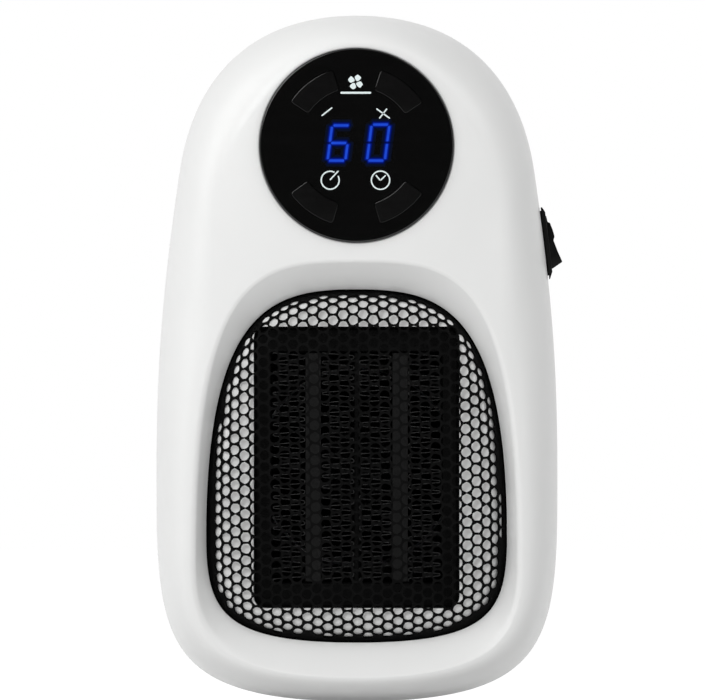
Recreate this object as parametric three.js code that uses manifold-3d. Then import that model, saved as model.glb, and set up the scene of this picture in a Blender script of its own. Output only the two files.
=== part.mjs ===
// A wall fan heater that hangs on its own turning plug.
// Millimetres, +Z up, +Y towards the wall. The origin is the middle of the plug's wall face.
import * as THREE from 'three';
import { mergeVertices } from 'three/addons/utils/BufferGeometryUtils.js';
import Module from 'manifold-3d';

const wasm = await Module();
wasm.setup();

// Fits
const seat_gap = 0.3;
const slide_gap = 0.3;
const side_gap = 0.15;
const cut_overrun = 1;
const weld_distance = 0.0001;
const round_count = 24;
const post_side_count = 8;

// Housing
const body_width = 122;
const body_top = 63.7;
const chin_height = 7.7;
const body_depth = 72;
const rear_depth = 26;
const wall = 2.2;
const plug_stand = 8;
const crown_depth = 3;
const front_rounding = 20;
const front_rounding_depth = 30;
const rear_rounding = 24;
const rear_rounding_depth = 23;
const crest_width = 0.9;
const crest_land = 0.6;
const crest_drop = 0.35;
const crown_shares = [0.35, 0.7];
const ridge_share = 0.6;
const ridge_drop_share = 0.3;
const body_shares = [
  [0, 0], [0.98, 0], [1, 0.09], [1, 0.322],
  [1, 0.458], [0.987, 0.571], [0.883, 0.775],
  [0.8135, 0.91], [0.53, 1], [0, 1],
];
const ray_count = 44;
const rounding_count = 5;
const inner_count = 2;

// Outlet recess and grille
const outlet_width = 91.3;
const outlet_height = 107.2;
const outlet_top = 19.6;
const outlet_shares = [
  [0, 0], [0.89, 0], [1, 0.085], [1, 0.3],
  [1, 0.965], [0.53, 1], [0, 1],
];
const recess_side = 3.65;
const recess_above = 8.7;
const recess_below = 10.4;
const recess_depth = 9;
const recess_shares = [
  [0, 0], [0.92, 0], [1, 0.12], [1, 0.28],
  [1, 0.987], [0.6, 1], [0, 1],
];
const ledge = 3.4;
const ledge_share = 0.85;
const sheet = 0.8;
const grille_rim = 3;
const grille_play = 0.4;
const edge_rise = 4.5;
const edge_width = 4.5;
const crown_rise = 3.5;
const edge_shares = [0, 0.25, 0.7];
const hole_pitch = 8.4;
const hole_web = 1.5;
const hole_land = 1;
const hole_side_count = 6;
const thin_share = 0.6;
const swap_pass_count = 60;

// Fan heater module
const fan_lowering = 0.4;
const sleeve_side = 12.35;
const sleeve_end = 8.8;
const sleeve_wall = 2;
const sleeve_corner = 9;
const sleeve_flange = 2;
const frame_depth = 13.5;
const frame_proud = 2.1;
const frame_head = 7.6;
const frame_side = 5.2;
const fin_pitch = 2.3;
const fin_sheet = 0.5;
const fin_depth = 12.4;
const bar_width = 4.6;
const separator_width = 1.2;
const tab_width = 6.3;
const tab_sheet = 0.8;
const tab_length = 8;
const cutout_radius = 6;
const cutout_depth = 5;

// Fan
const fan_margin = 2.8;
const fan_wall = 1.5;
const fan_depth = 18;
const plate_depth = 2.5;
const spoke_width = 3;
const motor_radius = 11;
const motor_depth = 18;
const motor_end = 2;
const motor_cup_wall = 1.5;
const motor_cup_depth = 5.5;
const shaft_radius = 1;
const hub_radius = 12;
const hub_depth = 12;
const hub_nose = 4.5;
const hub_nose_radius = 6.5;
const impeller_inset = 3;
const blade_count = 7;
const blade_play = 0.8;
const root_chord = 14;
const tip_chord = 16;
const vane_sheet = 1.4;
const root_angle = 42;
const tip_angle = 26;
const vane_station_count = 2;

// Turning plug
const turret_radius = 21.5;
const turret_chamfer = 0.8;
const flange_radius = 24.5;
const flange_depth = 2.5;
const prong_width = 6.35;
const prong_sheet = 1.5;
const prong_spacing = 12.7;
const prong_length = 17;
const prong_tip = 3;
const prong_tip_share = 0.55;
const prong_hole = 3.2;
const prong_hole_place = 11.7;
const prong_foot_depth = 4;
const ring_width = 3;
const ring_sheet = 0.8;
const live_ring_radius = 10;
const neutral_ring_radius = 16;
const retainer_radius = 31.5;
const retainer_sheet = 2;
const retainer_hold = 20.6;
const retainer_screw_radius = 28.2;
const retainer_bore = 6;
const brush_width = 3;
const brush_head = 5.4;
const brush_head_sheet = 0.8;
const stop_inner_radius = 18.1;
const stop_outer_radius = 20.2;
const stop_height = 2;
const stop_angle = 44.5;

// Control panel
const panel_radius = 29.4;
const panel_height = 24;
const panel_proud = 1.3;
const panel_sheet = 2.4;
const panel_bevel = 0.9;
const panel_wall = 1.8;
const panel_skirt_wall = 2;
const panel_flange = 1.8;
const panel_flange_sheet = 1.5;
const panel_seat_depth = 2.6;
const panel_margin = 1.4;
const board_sheet = 1.6;
const board_setback = 9;
const key_inner_radius = 17.3;
const key_outer_radius = 23.9;
const key_lip = 0.9;
const key_lip_sheet = 1;
const key_recess = 0.2;
const key_stem_radius = 1.5;
const key_travel = 0.5;
const key_mean_angles = { plus: 52.5, minus: 127, power: 234.5, timer: 305.5 };
const key_span_angles = { plus: 39, minus: 39, power: 37, timer: 37 };
const display_width = 25;
const display_height = 19;
const tact_width = 6;
const tact_depth = 3.5;
const tact_button_radius = 1.7;
const tact_button_height = 0.8;

// Power board
const power_width = 76;
const power_height = 56;
const power_corner = 3;
const power_rise = 14.5;
const power_setback = 2;
const relay_size = { width: 19, height: 15.5, depth: 15 };
const relay_place = { side: -19, rise: 22 };
const film_size = { width: 18, height: 8, depth: 14 };
const film_place = { side: 18, rise: 32 };
const supply_radius = 5;
const supply_depth = 16;
const supply_place = { side: 14, rise: 14 };
const fuse_size = { width: 8, height: 4, depth: 8 };
const fuse_place = { side: -18, rise: 2 };

// Rocker switch
const switch_drop = 5.5;
const switch_setback = 11;
const switch_height = 21.9;
const switch_width = 15;
const switch_rim = 1.2;
const switch_body_height = 19.8;
const switch_body_width = 12.8;
const switch_body_depth = 12.5;
const bay_height = 18.2;
const bay_width = 11;
const bay_depth = 8.4;
const rocker_width = 10.4;
const rocker_pivot = 1.5;
const rocker_pin_radius = 0.9;
const rocker_pin_reach = 0.7;
const rocker_crest = 4.5;
const rocker_waist = 3.4;
const rocker_half = 8.47;
const rocker_shoulder = 0.8;
const rocker_belly = 6.5;
const rocker_angle = 12;
const rocker_crest_share = 0.84;
const rocker_hip_shares = [0.83, 0.4];
const rocker_keel_shares = [0.35, 0.9];
const terminal_width = 4.8;
const terminal_sheet = 0.8;
const terminal_length = 7;
const terminal_spacing = 7.2;

// Screws and what they go into
const screw_radius = 1.4;
const screw_head_radius = 2.7;
const screw_head = 1.8;
const screw_length = 10;
const short_screw_length = 5;
const screw_side_count = 6;
const pilot_radius = 1.7;
const post_radius = 3;
const small_post_radius = 2.4;
const well_radius = 3.2;
const well_wall = 1.2;
const well_floor = 3;
const cover_boss_inset = 7.5;
const cover_boss_angles = [24, 112];
const retainer_screw_angles = [30, 150, 270];
const fan_post_inset = 6.3;
const power_post_side = 34.5;
const power_post_drop = 23.5;
const power_post_lift = 23;

// Air inlet
const inlet_margin = 1.5;
const inlet_pitch = 7.6;
const inlet_slot = 3.6;
const inlet_rib = 4;

// Places along Y that follow from the sizes above
const back_y = -plug_stand;
const back_inner_y = back_y - wall;
const front_y = back_y - body_depth;
const parting_y = back_y - rear_depth;
const front_side_y = front_y + front_rounding_depth;
const rear_side_y = back_y - rear_rounding_depth;
const lip_front_y = front_y + recess_depth;
const lip_back_y = lip_front_y + wall;
const rim_front_y = lip_back_y + seat_gap;
const rim_back_y = rim_front_y + sheet;
const flange_front_y = rim_back_y + seat_gap;
const flange_back_y = flange_front_y + sleeve_flange;
const heater_front_y = flange_front_y - frame_proud;
const heater_back_y = heater_front_y + frame_depth;
const fan_back_y = back_inner_y - seat_gap;
const plate_back_y = fan_back_y - fan_depth + plate_depth;
const plate_front_y = fan_back_y - fan_depth;
const sleeve_back_y = plate_front_y - seat_gap;
const motor_back_y = plate_front_y - seat_gap;
const motor_front_y = motor_back_y - motor_depth;
const impeller_back_y = fan_back_y - impeller_inset;
const impeller_front_y = impeller_back_y - hub_depth;
const turret_back_y = back_inner_y - seat_gap;
const turret_front_y = turret_back_y - flange_depth;
const ring_back_y = turret_front_y - seat_gap;
const ring_front_y = ring_back_y - ring_sheet;
const retainer_back_y = turret_front_y - stop_height - seat_gap;
const retainer_front_y = retainer_back_y - retainer_sheet;
const panel_front_y = front_y - panel_proud;
const panel_back_y = panel_front_y + panel_sheet;
const panel_seat_y = front_y + panel_seat_depth;
const panel_flange_y = panel_seat_y + seat_gap;
const display_board_y = panel_back_y + board_setback;
const power_board_y = parting_y - power_setback;

// Places up and down
const outlet_bottom_z = -outlet_top - outlet_height;
const recess_bottom_z = outlet_bottom_z - recess_below;
const recess_height = recess_below + outlet_height + recess_above;
const body_bottom_z = recess_bottom_z - chin_height;
const body_height = body_top - body_bottom_z;
const fan_drop = outlet_top + outlet_height / 2 + fan_lowering;

// Widths and heights that follow from the outlet
const recess_width = outlet_width + recess_side * 2;
const sleeve_width = outlet_width - sleeve_side * 2;
const sleeve_height = outlet_height - sleeve_end * 2;
const frame_width = sleeve_width - (sleeve_wall + seat_gap) * 2;
const frame_height = sleeve_height - (sleeve_wall + seat_gap) * 2;
const bars_width = bar_width * 2 + separator_width + side_gap * 8;
const fin_width = (frame_width - frame_side * 2 - bars_width) / 4;
const fan_bore = Math.min(sleeve_width, sleeve_height) - fan_margin * 2;
const fan_post_side = sleeve_width / 2 - fan_post_inset;
const fan_post_rise = sleeve_height / 2 - fan_post_inset;
const inlet_radius = fan_bore / 2 - inlet_margin;
const hole_width = hole_pitch - hole_web;
const inlet_row_count = 1 + 2 * Math.floor((inlet_radius - inlet_rib) / inlet_pitch);

const radians = (degrees) => THREE.MathUtils.degToRad(degrees);
const mixed = (from, to, share) => from + (to - from) * share;

// Looks
const look = (color, roughness, metalness = 0) =>
  new THREE.MeshStandardMaterial({ color, roughness, metalness });
const white_plastic = look(0xf1f1ef, 0.35);
const black_steel = look(0x0b0b0c, 0.45, 0.6);
const black_plastic = look(0x111112, 0.5);
const gloss_black = look(0x050506, 0.12);
const grey_plastic = look(0x6d7074, 0.5);
const aluminium = look(0x8b8d90, 0.4, 0.9);
const steel = look(0xb6b8ba, 0.35, 0.95);
const brass = look(0xc9a554, 0.3, 0.95);
const nickel = look(0xc9c7c0, 0.25, 0.95);
const board_green = look(0x1f5a38, 0.5);
const blue_plastic = look(0x2b4f9c, 0.45);
const display_dark = look(0x0a0d1c, 0.2);

// Mesh helpers
function tidy(geometry) {
  const bare = new THREE.BufferGeometry();
  bare.setAttribute('position', geometry.attributes.position);
  if (geometry.index) bare.setIndex(geometry.index);
  const welded = mergeVertices(bare, weld_distance);
  const corners = welded.index.array;
  const at = welded.attributes.position;
  const [a, b, c] = [new THREE.Vector3(), new THREE.Vector3(), new THREE.Vector3()];
  const kept = [];
  let volume = 0;
  for (let i = 0; i < corners.length; i += 3) {
    const [p, q, r] = [corners[i], corners[i + 1], corners[i + 2]];
    if (p === q || q === r || r === p) continue;
    kept.push(p, q, r);
    volume += a.fromBufferAttribute(at, p).dot(
      b.fromBufferAttribute(at, q).cross(c.fromBufferAttribute(at, r)));
  }
  if (volume < 0) kept.reverse();
  welded.setIndex(kept);
  return welded;
}

function solid(geometry) {
  const clean = tidy(geometry);
  return new wasm.Manifold(new wasm.Mesh({
    numProp: 3,
    vertProperties: new Float32Array(clean.attributes.position.array),
    triVerts: new Uint32Array(clean.index.array),
  }));
}

function surface(manifold) {
  const mesh = manifold.getMesh();
  const geometry = new THREE.BufferGeometry();
  geometry.setAttribute('position', new THREE.BufferAttribute(mesh.vertProperties, 3));
  geometry.setIndex(new THREE.BufferAttribute(mesh.triVerts, 1));
  return geometry;
}

const joined = (pieces) => pieces.reduce((whole, piece) => whole.add(piece));
const without = (whole, cutters) => cutters.reduce((rest, cutter) => rest.subtract(cutter), whole);

function place(parent, name, form, material) {
  const geometry = form.isBufferGeometry ? tidy(form) : surface(form);
  geometry.computeVertexNormals();
  const mesh = new THREE.Mesh(geometry, material);
  mesh.name = name;
  parent.add(mesh);
  return mesh;
}

// A plane outline in X and Z, drawn out along Y from back to front.
function prism(outline, back, front, curveSegments = 4) {
  const depth = back - front;
  const geometry = new THREE.ExtrudeGeometry(outline, { depth, bevelEnabled: false, curveSegments });
  geometry.rotateX(Math.PI / 2);
  geometry.translate(0, back, 0);
  return geometry;
}

// A profile of [radius, y] turned about Y.
function turned(profile, side_count) {
  const points = profile.map(([radius, y]) => new THREE.Vector2(radius, y));
  return new THREE.LatheGeometry([...points, points[0]], side_count);
}

function rod(radius, back, front, side_count, x = 0, z = 0) {
  const profile = [[0, back], [radius, back], [radius, front], [0, front]];
  return turned(profile, side_count).translate(x, 0, z);
}

function block(width, back, front, height, x = 0, z = 0) {
  const geometry = new THREE.BoxGeometry(width, back - front, height);
  return geometry.translate(x, (back + front) / 2, z);
}

function rounded(width, height, radius) {
  const x = width / 2 - radius;
  const z = height / 2 - radius;
  const outline = new THREE.Shape();
  outline.absarc(x, z, radius, 0, Math.PI / 2);
  outline.absarc(-x, z, radius, Math.PI / 2, Math.PI);
  outline.absarc(-x, -z, radius, Math.PI, Math.PI * 3 / 2);
  outline.absarc(x, -z, radius, Math.PI * 3 / 2, Math.PI * 2);
  return outline;
}

function slot_outline(length, height) {
  const [far, near, half] = [length / 2, (length - height) / 2, height / 2];
  return new THREE.Shape([
    new THREE.Vector2(-far, 0), new THREE.Vector2(-near, -half), new THREE.Vector2(near, -half),
    new THREE.Vector2(far, 0), new THREE.Vector2(near, half), new THREE.Vector2(-near, half),
  ]);
}

function round_hole(x, z, radius) {
  const points = Array.from({ length: post_side_count }, (_, k) => {
    const turn = Math.PI * 2 * k / post_side_count;
    return new THREE.Vector2(x + radius * Math.cos(turn), z + radius * Math.sin(turn));
  });
  return new THREE.Path(points);
}

function sector(inner, outer, middle_angle, span_angle) {
  const from = radians(middle_angle - span_angle / 2);
  const to = radians(middle_angle + span_angle / 2);
  const outline = new THREE.Shape();
  outline.absarc(0, 0, outer, from, to, false);
  outline.absarc(0, 0, inner, to, from, true);
  return outline;
}

// A skin through rings of points with equal counts, closed to a tube ring or with flat ends.
function skin(rings, ends) {
  const count = rings[0].length;
  const places = rings.flat();
  const faces = [];
  const last = ends ? rings.length - 1 : rings.length;
  for (let k = 0; k < last; k += 1) {
    const next = (k + 1) % rings.length;
    for (let i = 0; i < count; i += 1) {
      const j = (i + 1) % count;
      const [a, b] = [k * count + i, k * count + j];
      const [c, d] = [next * count + j, next * count + i];
      faces.push(a, b, c, a, c, d);
    }
  }
  if (ends) {
    const middle = (points) => [0, 1, 2].map(
      (axis) => points.reduce((sum, point) => sum + point[axis], 0) / count);
    const hub = places.length;
    const foot = (rings.length - 1) * count;
    places.push(middle(rings[0]), middle(rings[rings.length - 1]));
    for (let i = 0; i < count; i += 1) {
      const j = (i + 1) % count;
      faces.push(hub, j, i, hub + 1, foot + i, foot + j);
    }
  }
  const geometry = new THREE.BufferGeometry();
  geometry.setAttribute('position', new THREE.Float32BufferAttribute(places.flat(), 3));
  geometry.setIndex(faces);
  return geometry;
}

// Outlines of mirrored Bezier halves, seen as a reach from the fan's axis at an angle from the top
const centre_z = -fan_drop;
const curve_count = 60;

function half_outline(width, bottom, height, shares) {
  const points = shares.map(([x, z]) => new THREE.Vector2(x * width / 2, bottom + z * height));
  const line = [];
  for (let i = 0; i + 3 < points.length; i += 3) {
    const curve = new THREE.CubicBezierCurve(...points.slice(i, i + 4));
    line.push(...curve.getPoints(curve_count));
  }
  return line.reverse();
}

const body_line = half_outline(body_width, body_bottom_z, body_height, body_shares);
const outlet_line = half_outline(outlet_width, outlet_bottom_z, outlet_height, outlet_shares);
const recess_line = half_outline(recess_width, recess_bottom_z, recess_height, recess_shares);

function reach(line, angle) {
  const aim = Math.abs(angle);
  const turn = (point) => Math.atan2(Math.max(point.x, 0), point.y - centre_z);
  for (let i = 1; i < line.length; i += 1) {
    const [near, far] = [turn(line[i - 1]), turn(line[i])];
    if (far < aim && i < line.length - 1) continue;
    const share = far > near ? THREE.MathUtils.clamp((aim - near) / (far - near), 0, 1) : 1;
    const x = mixed(line[i - 1].x, line[i].x, share);
    const z = mixed(line[i - 1].y, line[i].y, share) - centre_z;
    return Math.hypot(x, z);
  }
  return 0;
}

// Rays from the fan's axis, spread evenly along the body's outline
function even_angles(line, count) {
  const lengths = [0];
  for (let i = 1; i < line.length; i += 1) {
    lengths.push(lengths[i - 1] + line[i].distanceTo(line[i - 1]));
  }
  const total = lengths[lengths.length - 1];
  const angles = [];
  for (let k = 0; k <= count; k += 1) {
    const aim = total * k / count;
    let i = 1;
    while (i < line.length - 1 && lengths[i] < aim) i += 1;
    const share = (aim - lengths[i - 1]) / (lengths[i] - lengths[i - 1]);
    const x = mixed(line[i - 1].x, line[i].x, share);
    const z = mixed(line[i - 1].y, line[i].y, share) - centre_z;
    angles.push(k === 0 ? 0 : k === count ? Math.PI : Math.atan2(x, z));
  }
  return angles;
}

const half_angles = even_angles(body_line, ray_count / 2);
const all_angles = [...half_angles, ...half_angles.slice(1, -1).reverse().map((angle) => -angle)];

function panel_reach(angle) {
  const height = panel_height - centre_z;
  const radius = panel_radius + panel_margin;
  const across = height * Math.sin(angle);
  if (Math.abs(angle) > Math.PI / 2 || Math.abs(across) > radius) return 0;
  return height * Math.cos(angle) + Math.sqrt(radius * radius - across * across);
}

const rays = all_angles.map((angle) => {
  const body = reach(body_line, angle);
  const outlet = reach(outlet_line, angle);
  const recess = reach(recess_line, angle);
  const beside_recess = body - recess - crest_width - crest_land;
  const beside_panel = body - panel_reach(angle);
  const rounding = Math.min(front_rounding, beside_recess, beside_panel);
  return { angle, body, outlet, recess, rounding };
});

const on_ray = (ray, radius, y) =>
  [radius * Math.sin(ray.angle), y, centre_z + radius * Math.cos(ray.angle)];
const ring = (radius_of, y_of) => rays.map((ray) => {
  const radius = radius_of(ray);
  return on_ray(ray, radius, y_of(ray, radius));
});

// The front's face falls back towards the sides.
function face_y(ray, radius) {
  const x = radius * Math.sin(ray.angle) / (body_width / 2);
  return front_y + crown_depth * x * x;
}

// Quarter-round edge between the front's face and the side wall
function edge_rings(inset, count) {
  const rings = [];
  for (let k = 0; k <= count; k += 1) {
    const turn = Math.PI / 2 * k / count;
    rings.push(rays.map((ray) => {
      const start = ray.body - ray.rounding;
      const radius = start + (ray.rounding - inset) * Math.sin(turn);
      const top = face_y(ray, start) + inset;
      return on_ray(ray, radius, mixed(front_side_y, top, Math.cos(turn)));
    }));
  }
  return rings;
}

function front_shell() {
  const crest = (ray) => ray.recess + crest_width;
  const flat = (ray) => ray.body - ray.rounding;
  const ridge = (ray) => Math.min(ray.recess + wall * ridge_share, flat(ray));
  const ledge_edge = (ray) =>
    ray.outlet + Math.min(ledge, (ray.recess - ray.outlet) * ledge_share);
  const below = (drop) => (ray, radius) => face_y(ray, radius) + drop;
  const lip_front = () => lip_front_y;
  const lip_back = () => lip_back_y;
  const rim = () => parting_y - seat_gap / 2;
  return skin([
    ring((ray) => ray.outlet, lip_front),
    ring((ray) => ray.recess - crest_width / 2, below(crest_drop * 2)),
    ring((ray) => ray.recess, below(crest_drop / 2)),
    ring(crest, below(0)),
    ...crown_shares.map((share) => ring((ray) => mixed(crest(ray), flat(ray), share), below(0))),
    ...edge_rings(0, rounding_count),
    ring((ray) => ray.body, rim),
    ring((ray) => ray.body - wall, rim),
    ...edge_rings(wall, inner_count).reverse(),
    ring(ridge, below(wall * (1 + ridge_drop_share))),
    ring(ledge_edge, lip_back),
    ring((ray) => ray.outlet, lip_back),
  ], false);
}

// The front's outer form, set in from the surface, that trims what stands inside it
function front_core(inset) {
  const rim = ring((ray) => ray.body - inset, () => parting_y - seat_gap / 2);
  return solid(skin([rim, ...edge_rings(inset, rounding_count).reverse()], true));
}

function rear_rings(inset, count) {
  const rings = [];
  for (let k = 0; k <= count; k += 1) {
    const turn = Math.PI / 2 * k / count;
    const y = mixed(rear_side_y, back_y - inset, Math.sin(turn));
    const reach_of = (ray) =>
      ray.body - rear_rounding + (rear_rounding - inset) * Math.cos(turn);
    rings.push(ring(reach_of, () => y));
  }
  return rings;
}

function rear_shell() {
  const rim = () => parting_y + seat_gap / 2;
  return skin([
    ...rear_rings(wall, inner_count).reverse(),
    ring((ray) => ray.body - wall, rim),
    ring((ray) => ray.body, rim),
    ...rear_rings(0, rounding_count),
  ], true);
}

function rear_core(inset) {
  const rim = ring((ray) => ray.body - inset, () => parting_y + seat_gap / 2);
  return solid(skin([rim, ...rear_rings(inset, rounding_count)], true));
}

// Where the screws stand
const polar = (radius, degrees) =>
  ({ x: radius * Math.cos(radians(degrees)), z: radius * Math.sin(radians(degrees)) });
const cover_screws = cover_boss_angles.flatMap((degrees) => [1, -1].map((side) => {
  const radius = reach(body_line, radians(degrees)) - cover_boss_inset;
  const x = side * radius * Math.sin(radians(degrees));
  return { x, z: centre_z + radius * Math.cos(radians(degrees)) };
}));
const retainer_screws = retainer_screw_angles.map(
  (degrees) => polar(retainer_screw_radius, degrees));
const fan_screws = [1, -1].flatMap((up) => [1, -1].map(
  (side) => ({ x: side * fan_post_side, z: centre_z + up * fan_post_rise })));
const power_screws = [power_rise + power_post_lift, power_rise - power_post_drop].flatMap(
  (z) => [1, -1].map((side) => ({ x: side * power_post_side, z })));

function post(radius, back, front, spot) {
  return solid(rod(radius, back, front, post_side_count, spot.x, spot.z));
}

// Where the switch sits on the right flank
function flank(z) {
  for (let i = 1; i < body_line.length; i += 1) {
    const [high, low] = [body_line[i - 1], body_line[i]];
    if (low.y > z) continue;
    const x = mixed(high.x, low.x, (high.y - z) / (high.y - low.y));
    return { x, lean: Math.atan2(low.x - high.x, high.y - low.y) };
  }
  return { x: body_width / 2, lean: 0 };
}

const switch_seat = flank(-switch_drop);
const switch_y = parting_y - switch_setback;
const switch_group = new THREE.Group();
switch_group.position.set(switch_seat.x, switch_y, -switch_drop);
switch_group.rotation.y = -switch_seat.lean;
switch_group.updateMatrix();
const bezel_back = seat_gap;
const bezel_front = bezel_back + switch_rim;

// A box in the switch's own frame: +X out of the flank, +Z along the rocker
function flank_block(inner, outer, width, height) {
  const geometry = new THREE.BoxGeometry(outer - inner, width, height);
  return geometry.translate((inner + outer) / 2, 0, 0);
}

const heater = new THREE.Group();

// Front cover
{
  const hole_radius = panel_radius + slide_gap;
  const seat_radius = panel_radius + panel_flange + slide_gap;
  const mouth = panel_margin + cut_overrun;
  const panel_hole = solid(turned([
    [0, back_inner_y], [hole_radius, back_inner_y],
    [hole_radius, front_y + panel_margin], [hole_radius + mouth, front_y - cut_overrun],
    [0, front_y - cut_overrun],
  ], round_count).translate(0, 0, panel_height));
  const panel_seat = solid(
    rod(seat_radius, parting_y, panel_seat_y, round_count, 0, panel_height));
  const switch_hole = solid(flank_block(
    -wall * 2, wall, switch_body_width + slide_gap * 2, switch_body_height + slide_gap * 2,
  ).applyMatrix4(switch_group.matrix));
  const rim_y = parting_y - seat_gap / 2;
  const core = front_core(wall / 2);
  const bosses = cover_screws.map(
    (spot) => post(small_post_radius + well_wall, rim_y, front_y, spot).intersect(core));
  const pilots = cover_screws.map(
    (spot) => post(pilot_radius, parting_y + cut_overrun, rim_y - screw_length * 1.2, spot));
  const shell = joined([solid(front_shell()), ...bosses]);
  const cut = without(shell, [panel_hole, panel_seat, switch_hole, ...pilots]);
  place(heater, 'front_cover', cut, white_plastic);
}

// Rear cover
{
  const core = rear_core(wall / 2);
  const rim_y = parting_y + seat_gap / 2;
  const standing = (radius, front) => (spot) => post(radius, back_y, front, spot).intersect(core);
  const wells = cover_screws.map(
    (spot) => post(well_radius, cut_overrun, rim_y + well_floor, spot));
  const bosses = [
    ...cover_screws.map(standing(well_radius + well_wall, rim_y)),
    ...retainer_screws.map(standing(small_post_radius, retainer_back_y + seat_gap)),
    ...fan_screws.map(standing(post_radius, plate_back_y + seat_gap)),
    ...power_screws.map(standing(post_radius, power_board_y + board_sheet + seat_gap)),
  ];
  const drilled = (spots, face) => spots.map(
    (spot) => post(pilot_radius, Math.min(face + screw_length * 1.1, back_inner_y), face - cut_overrun, spot));
  const slots = [];
  for (let row = 0; row < inlet_row_count; row += 1) {
    const rise = (row - (inlet_row_count - 1) / 2) * inlet_pitch;
    const chord = Math.sqrt(inlet_radius ** 2 - rise ** 2) - inlet_rib / 2;
    for (const side of [1, -1]) {
      const slot = prism(slot_outline(chord, inlet_slot), 0, back_inner_y - cut_overrun);
      const x = side * (inlet_rib / 2 + chord / 2);
      slots.push(solid(slot.translate(x, 0, centre_z + rise)));
    }
  }
  const turret_hole = solid(
    rod(turret_radius + slide_gap, 0, back_inner_y - cut_overrun, round_count));
  const shell = joined([solid(rear_shell()), ...bosses]);
  const cut = without(shell, [
    turret_hole, ...wells, ...slots,
    ...cover_screws.map((spot) => post(pilot_radius, 0, rim_y - cut_overrun, spot)),
    ...drilled(retainer_screws, retainer_back_y + seat_gap),
    ...drilled(fan_screws, plate_back_y + seat_gap),
    ...drilled(power_screws.slice(0, 2), power_board_y + board_sheet + seat_gap),
  ]);
  place(heater, 'rear_cover', cut, white_plastic);
}


// Groups whose pieces are drawn about their own middle
const fan_group = new THREE.Group();
fan_group.position.z = centre_z;
const panel_group = new THREE.Group();
panel_group.position.z = panel_height;
const plug_group = new THREE.Group();
heater.add(fan_group, panel_group, plug_group, switch_group);

// Swaps the shared side of two triangles wherever the other diagonal makes them rounder.
function evened(points, faces) {
  const inside = (a, b, c, d) => {
    const row = (p) => [p.x - d.x, p.y - d.y, (p.x - d.x) ** 2 + (p.y - d.y) ** 2];
    const [e, f, g] = [row(a), row(b), row(c)];
    return e[0] * (f[1] * g[2] - f[2] * g[1]) - e[1] * (f[0] * g[2] - f[2] * g[0])
      + e[2] * (f[0] * g[1] - f[1] * g[0]) > 1e-6;
  };
  const turn = (a, b, c) => (b.x - a.x) * (c.y - a.y) - (b.y - a.y) * (c.x - a.x) > 1e-6;
  let swapped = true;
  for (let pass = 0; swapped && pass < swap_pass_count; pass += 1) {
    swapped = false;
    const sides = new Map();
    const used = new Set();
    faces.forEach((face, index) => face.forEach((a, i) => {
      sides.set(`${a} ${face[(i + 1) % 3]}`, [index, face[(i + 2) % 3]]);
    }));
    for (const [side, [one, c]] of sides) {
      const [a, b] = side.split(' ').map(Number);
      const other = sides.get(`${b} ${a}`);
      if (!other || used.has(one) || used.has(other[0])) continue;
      const [two, d] = other;
      const [pa, pb, pc, pd] = [points[a], points[b], points[c], points[d]];
      if (!inside(pa, pb, pc, pd) || !turn(pa, pd, pc) || !turn(pd, pb, pc)) continue;
      faces[one] = [a, d, c];
      faces[two] = [d, b, c];
      used.add(one).add(two);
      swapped = true;
    }
  }
  return faces;
}

// A sheet between two sets of points that share their faces, closed along every open side
function thick_sheet(front, back, faces) {
  const open = new Set();
  for (const face of faces) {
    face.forEach((a, i) => {
      const b = face[(i + 1) % 3];
      if (!open.delete(`${b} ${a}`)) open.add(`${a} ${b}`);
    });
  }
  const shift = front.length;
  const corners = faces.flatMap(([a, b, c]) => [a, b, c, a + shift, c + shift, b + shift]);
  for (const side of open) {
    const [a, b] = side.split(' ').map(Number);
    corners.push(b, a, a + shift, b, a + shift, b + shift);
  }
  const geometry = new THREE.BufferGeometry();
  geometry.setAttribute('position', new THREE.Float32BufferAttribute([...front, ...back].flat(), 3));
  geometry.setIndex(corners);
  return geometry;
}

// Outlet grille: a domed sheet with holes in staggered columns
function grille_rise(x, z) {
  const foot = reach(outlet_line, Math.atan2(x, z)) - grille_play;
  const radius = Math.hypot(x, z);
  const left = 1 - Math.min(Math.max(foot - radius, 0) / edge_width, 1);
  const crown = Math.max(1 - (radius / foot) ** 2, 0);
  return edge_rise * Math.sqrt(1 - left * left) + crown_rise * crown;
}

function hole_places() {
  const column = hole_pitch * Math.sqrt(3) / 2;
  const corner = hole_width / Math.sqrt(3);
  const across = Math.ceil(outlet_width / column);
  const up = Math.ceil(outlet_height / hole_pitch);
  const holes = [];
  for (let i = -across; i <= across; i += 1) {
    for (let j = -up; j <= up; j += 1) {
      const x = i * column;
      const z = (j + (Math.abs(i) % 2) / 2) * hole_pitch;
      const hole = [];
      for (let k = 0; k < hole_side_count; k += 1) {
        const turn = Math.PI * 2 * k / hole_side_count;
        hole.push(new THREE.Vector2(x + corner * Math.cos(turn), z + corner * Math.sin(turn)));
      }
      const border = edge_width * edge_shares[edge_shares.length - 1] + hole_land + grille_play;
      const fits = hole.every((point) =>
        point.length() < reach(outlet_line, Math.atan2(point.x, point.y)) - border);
      if (fits) holes.push(hole);
    }
  }
  return holes;
}

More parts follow.
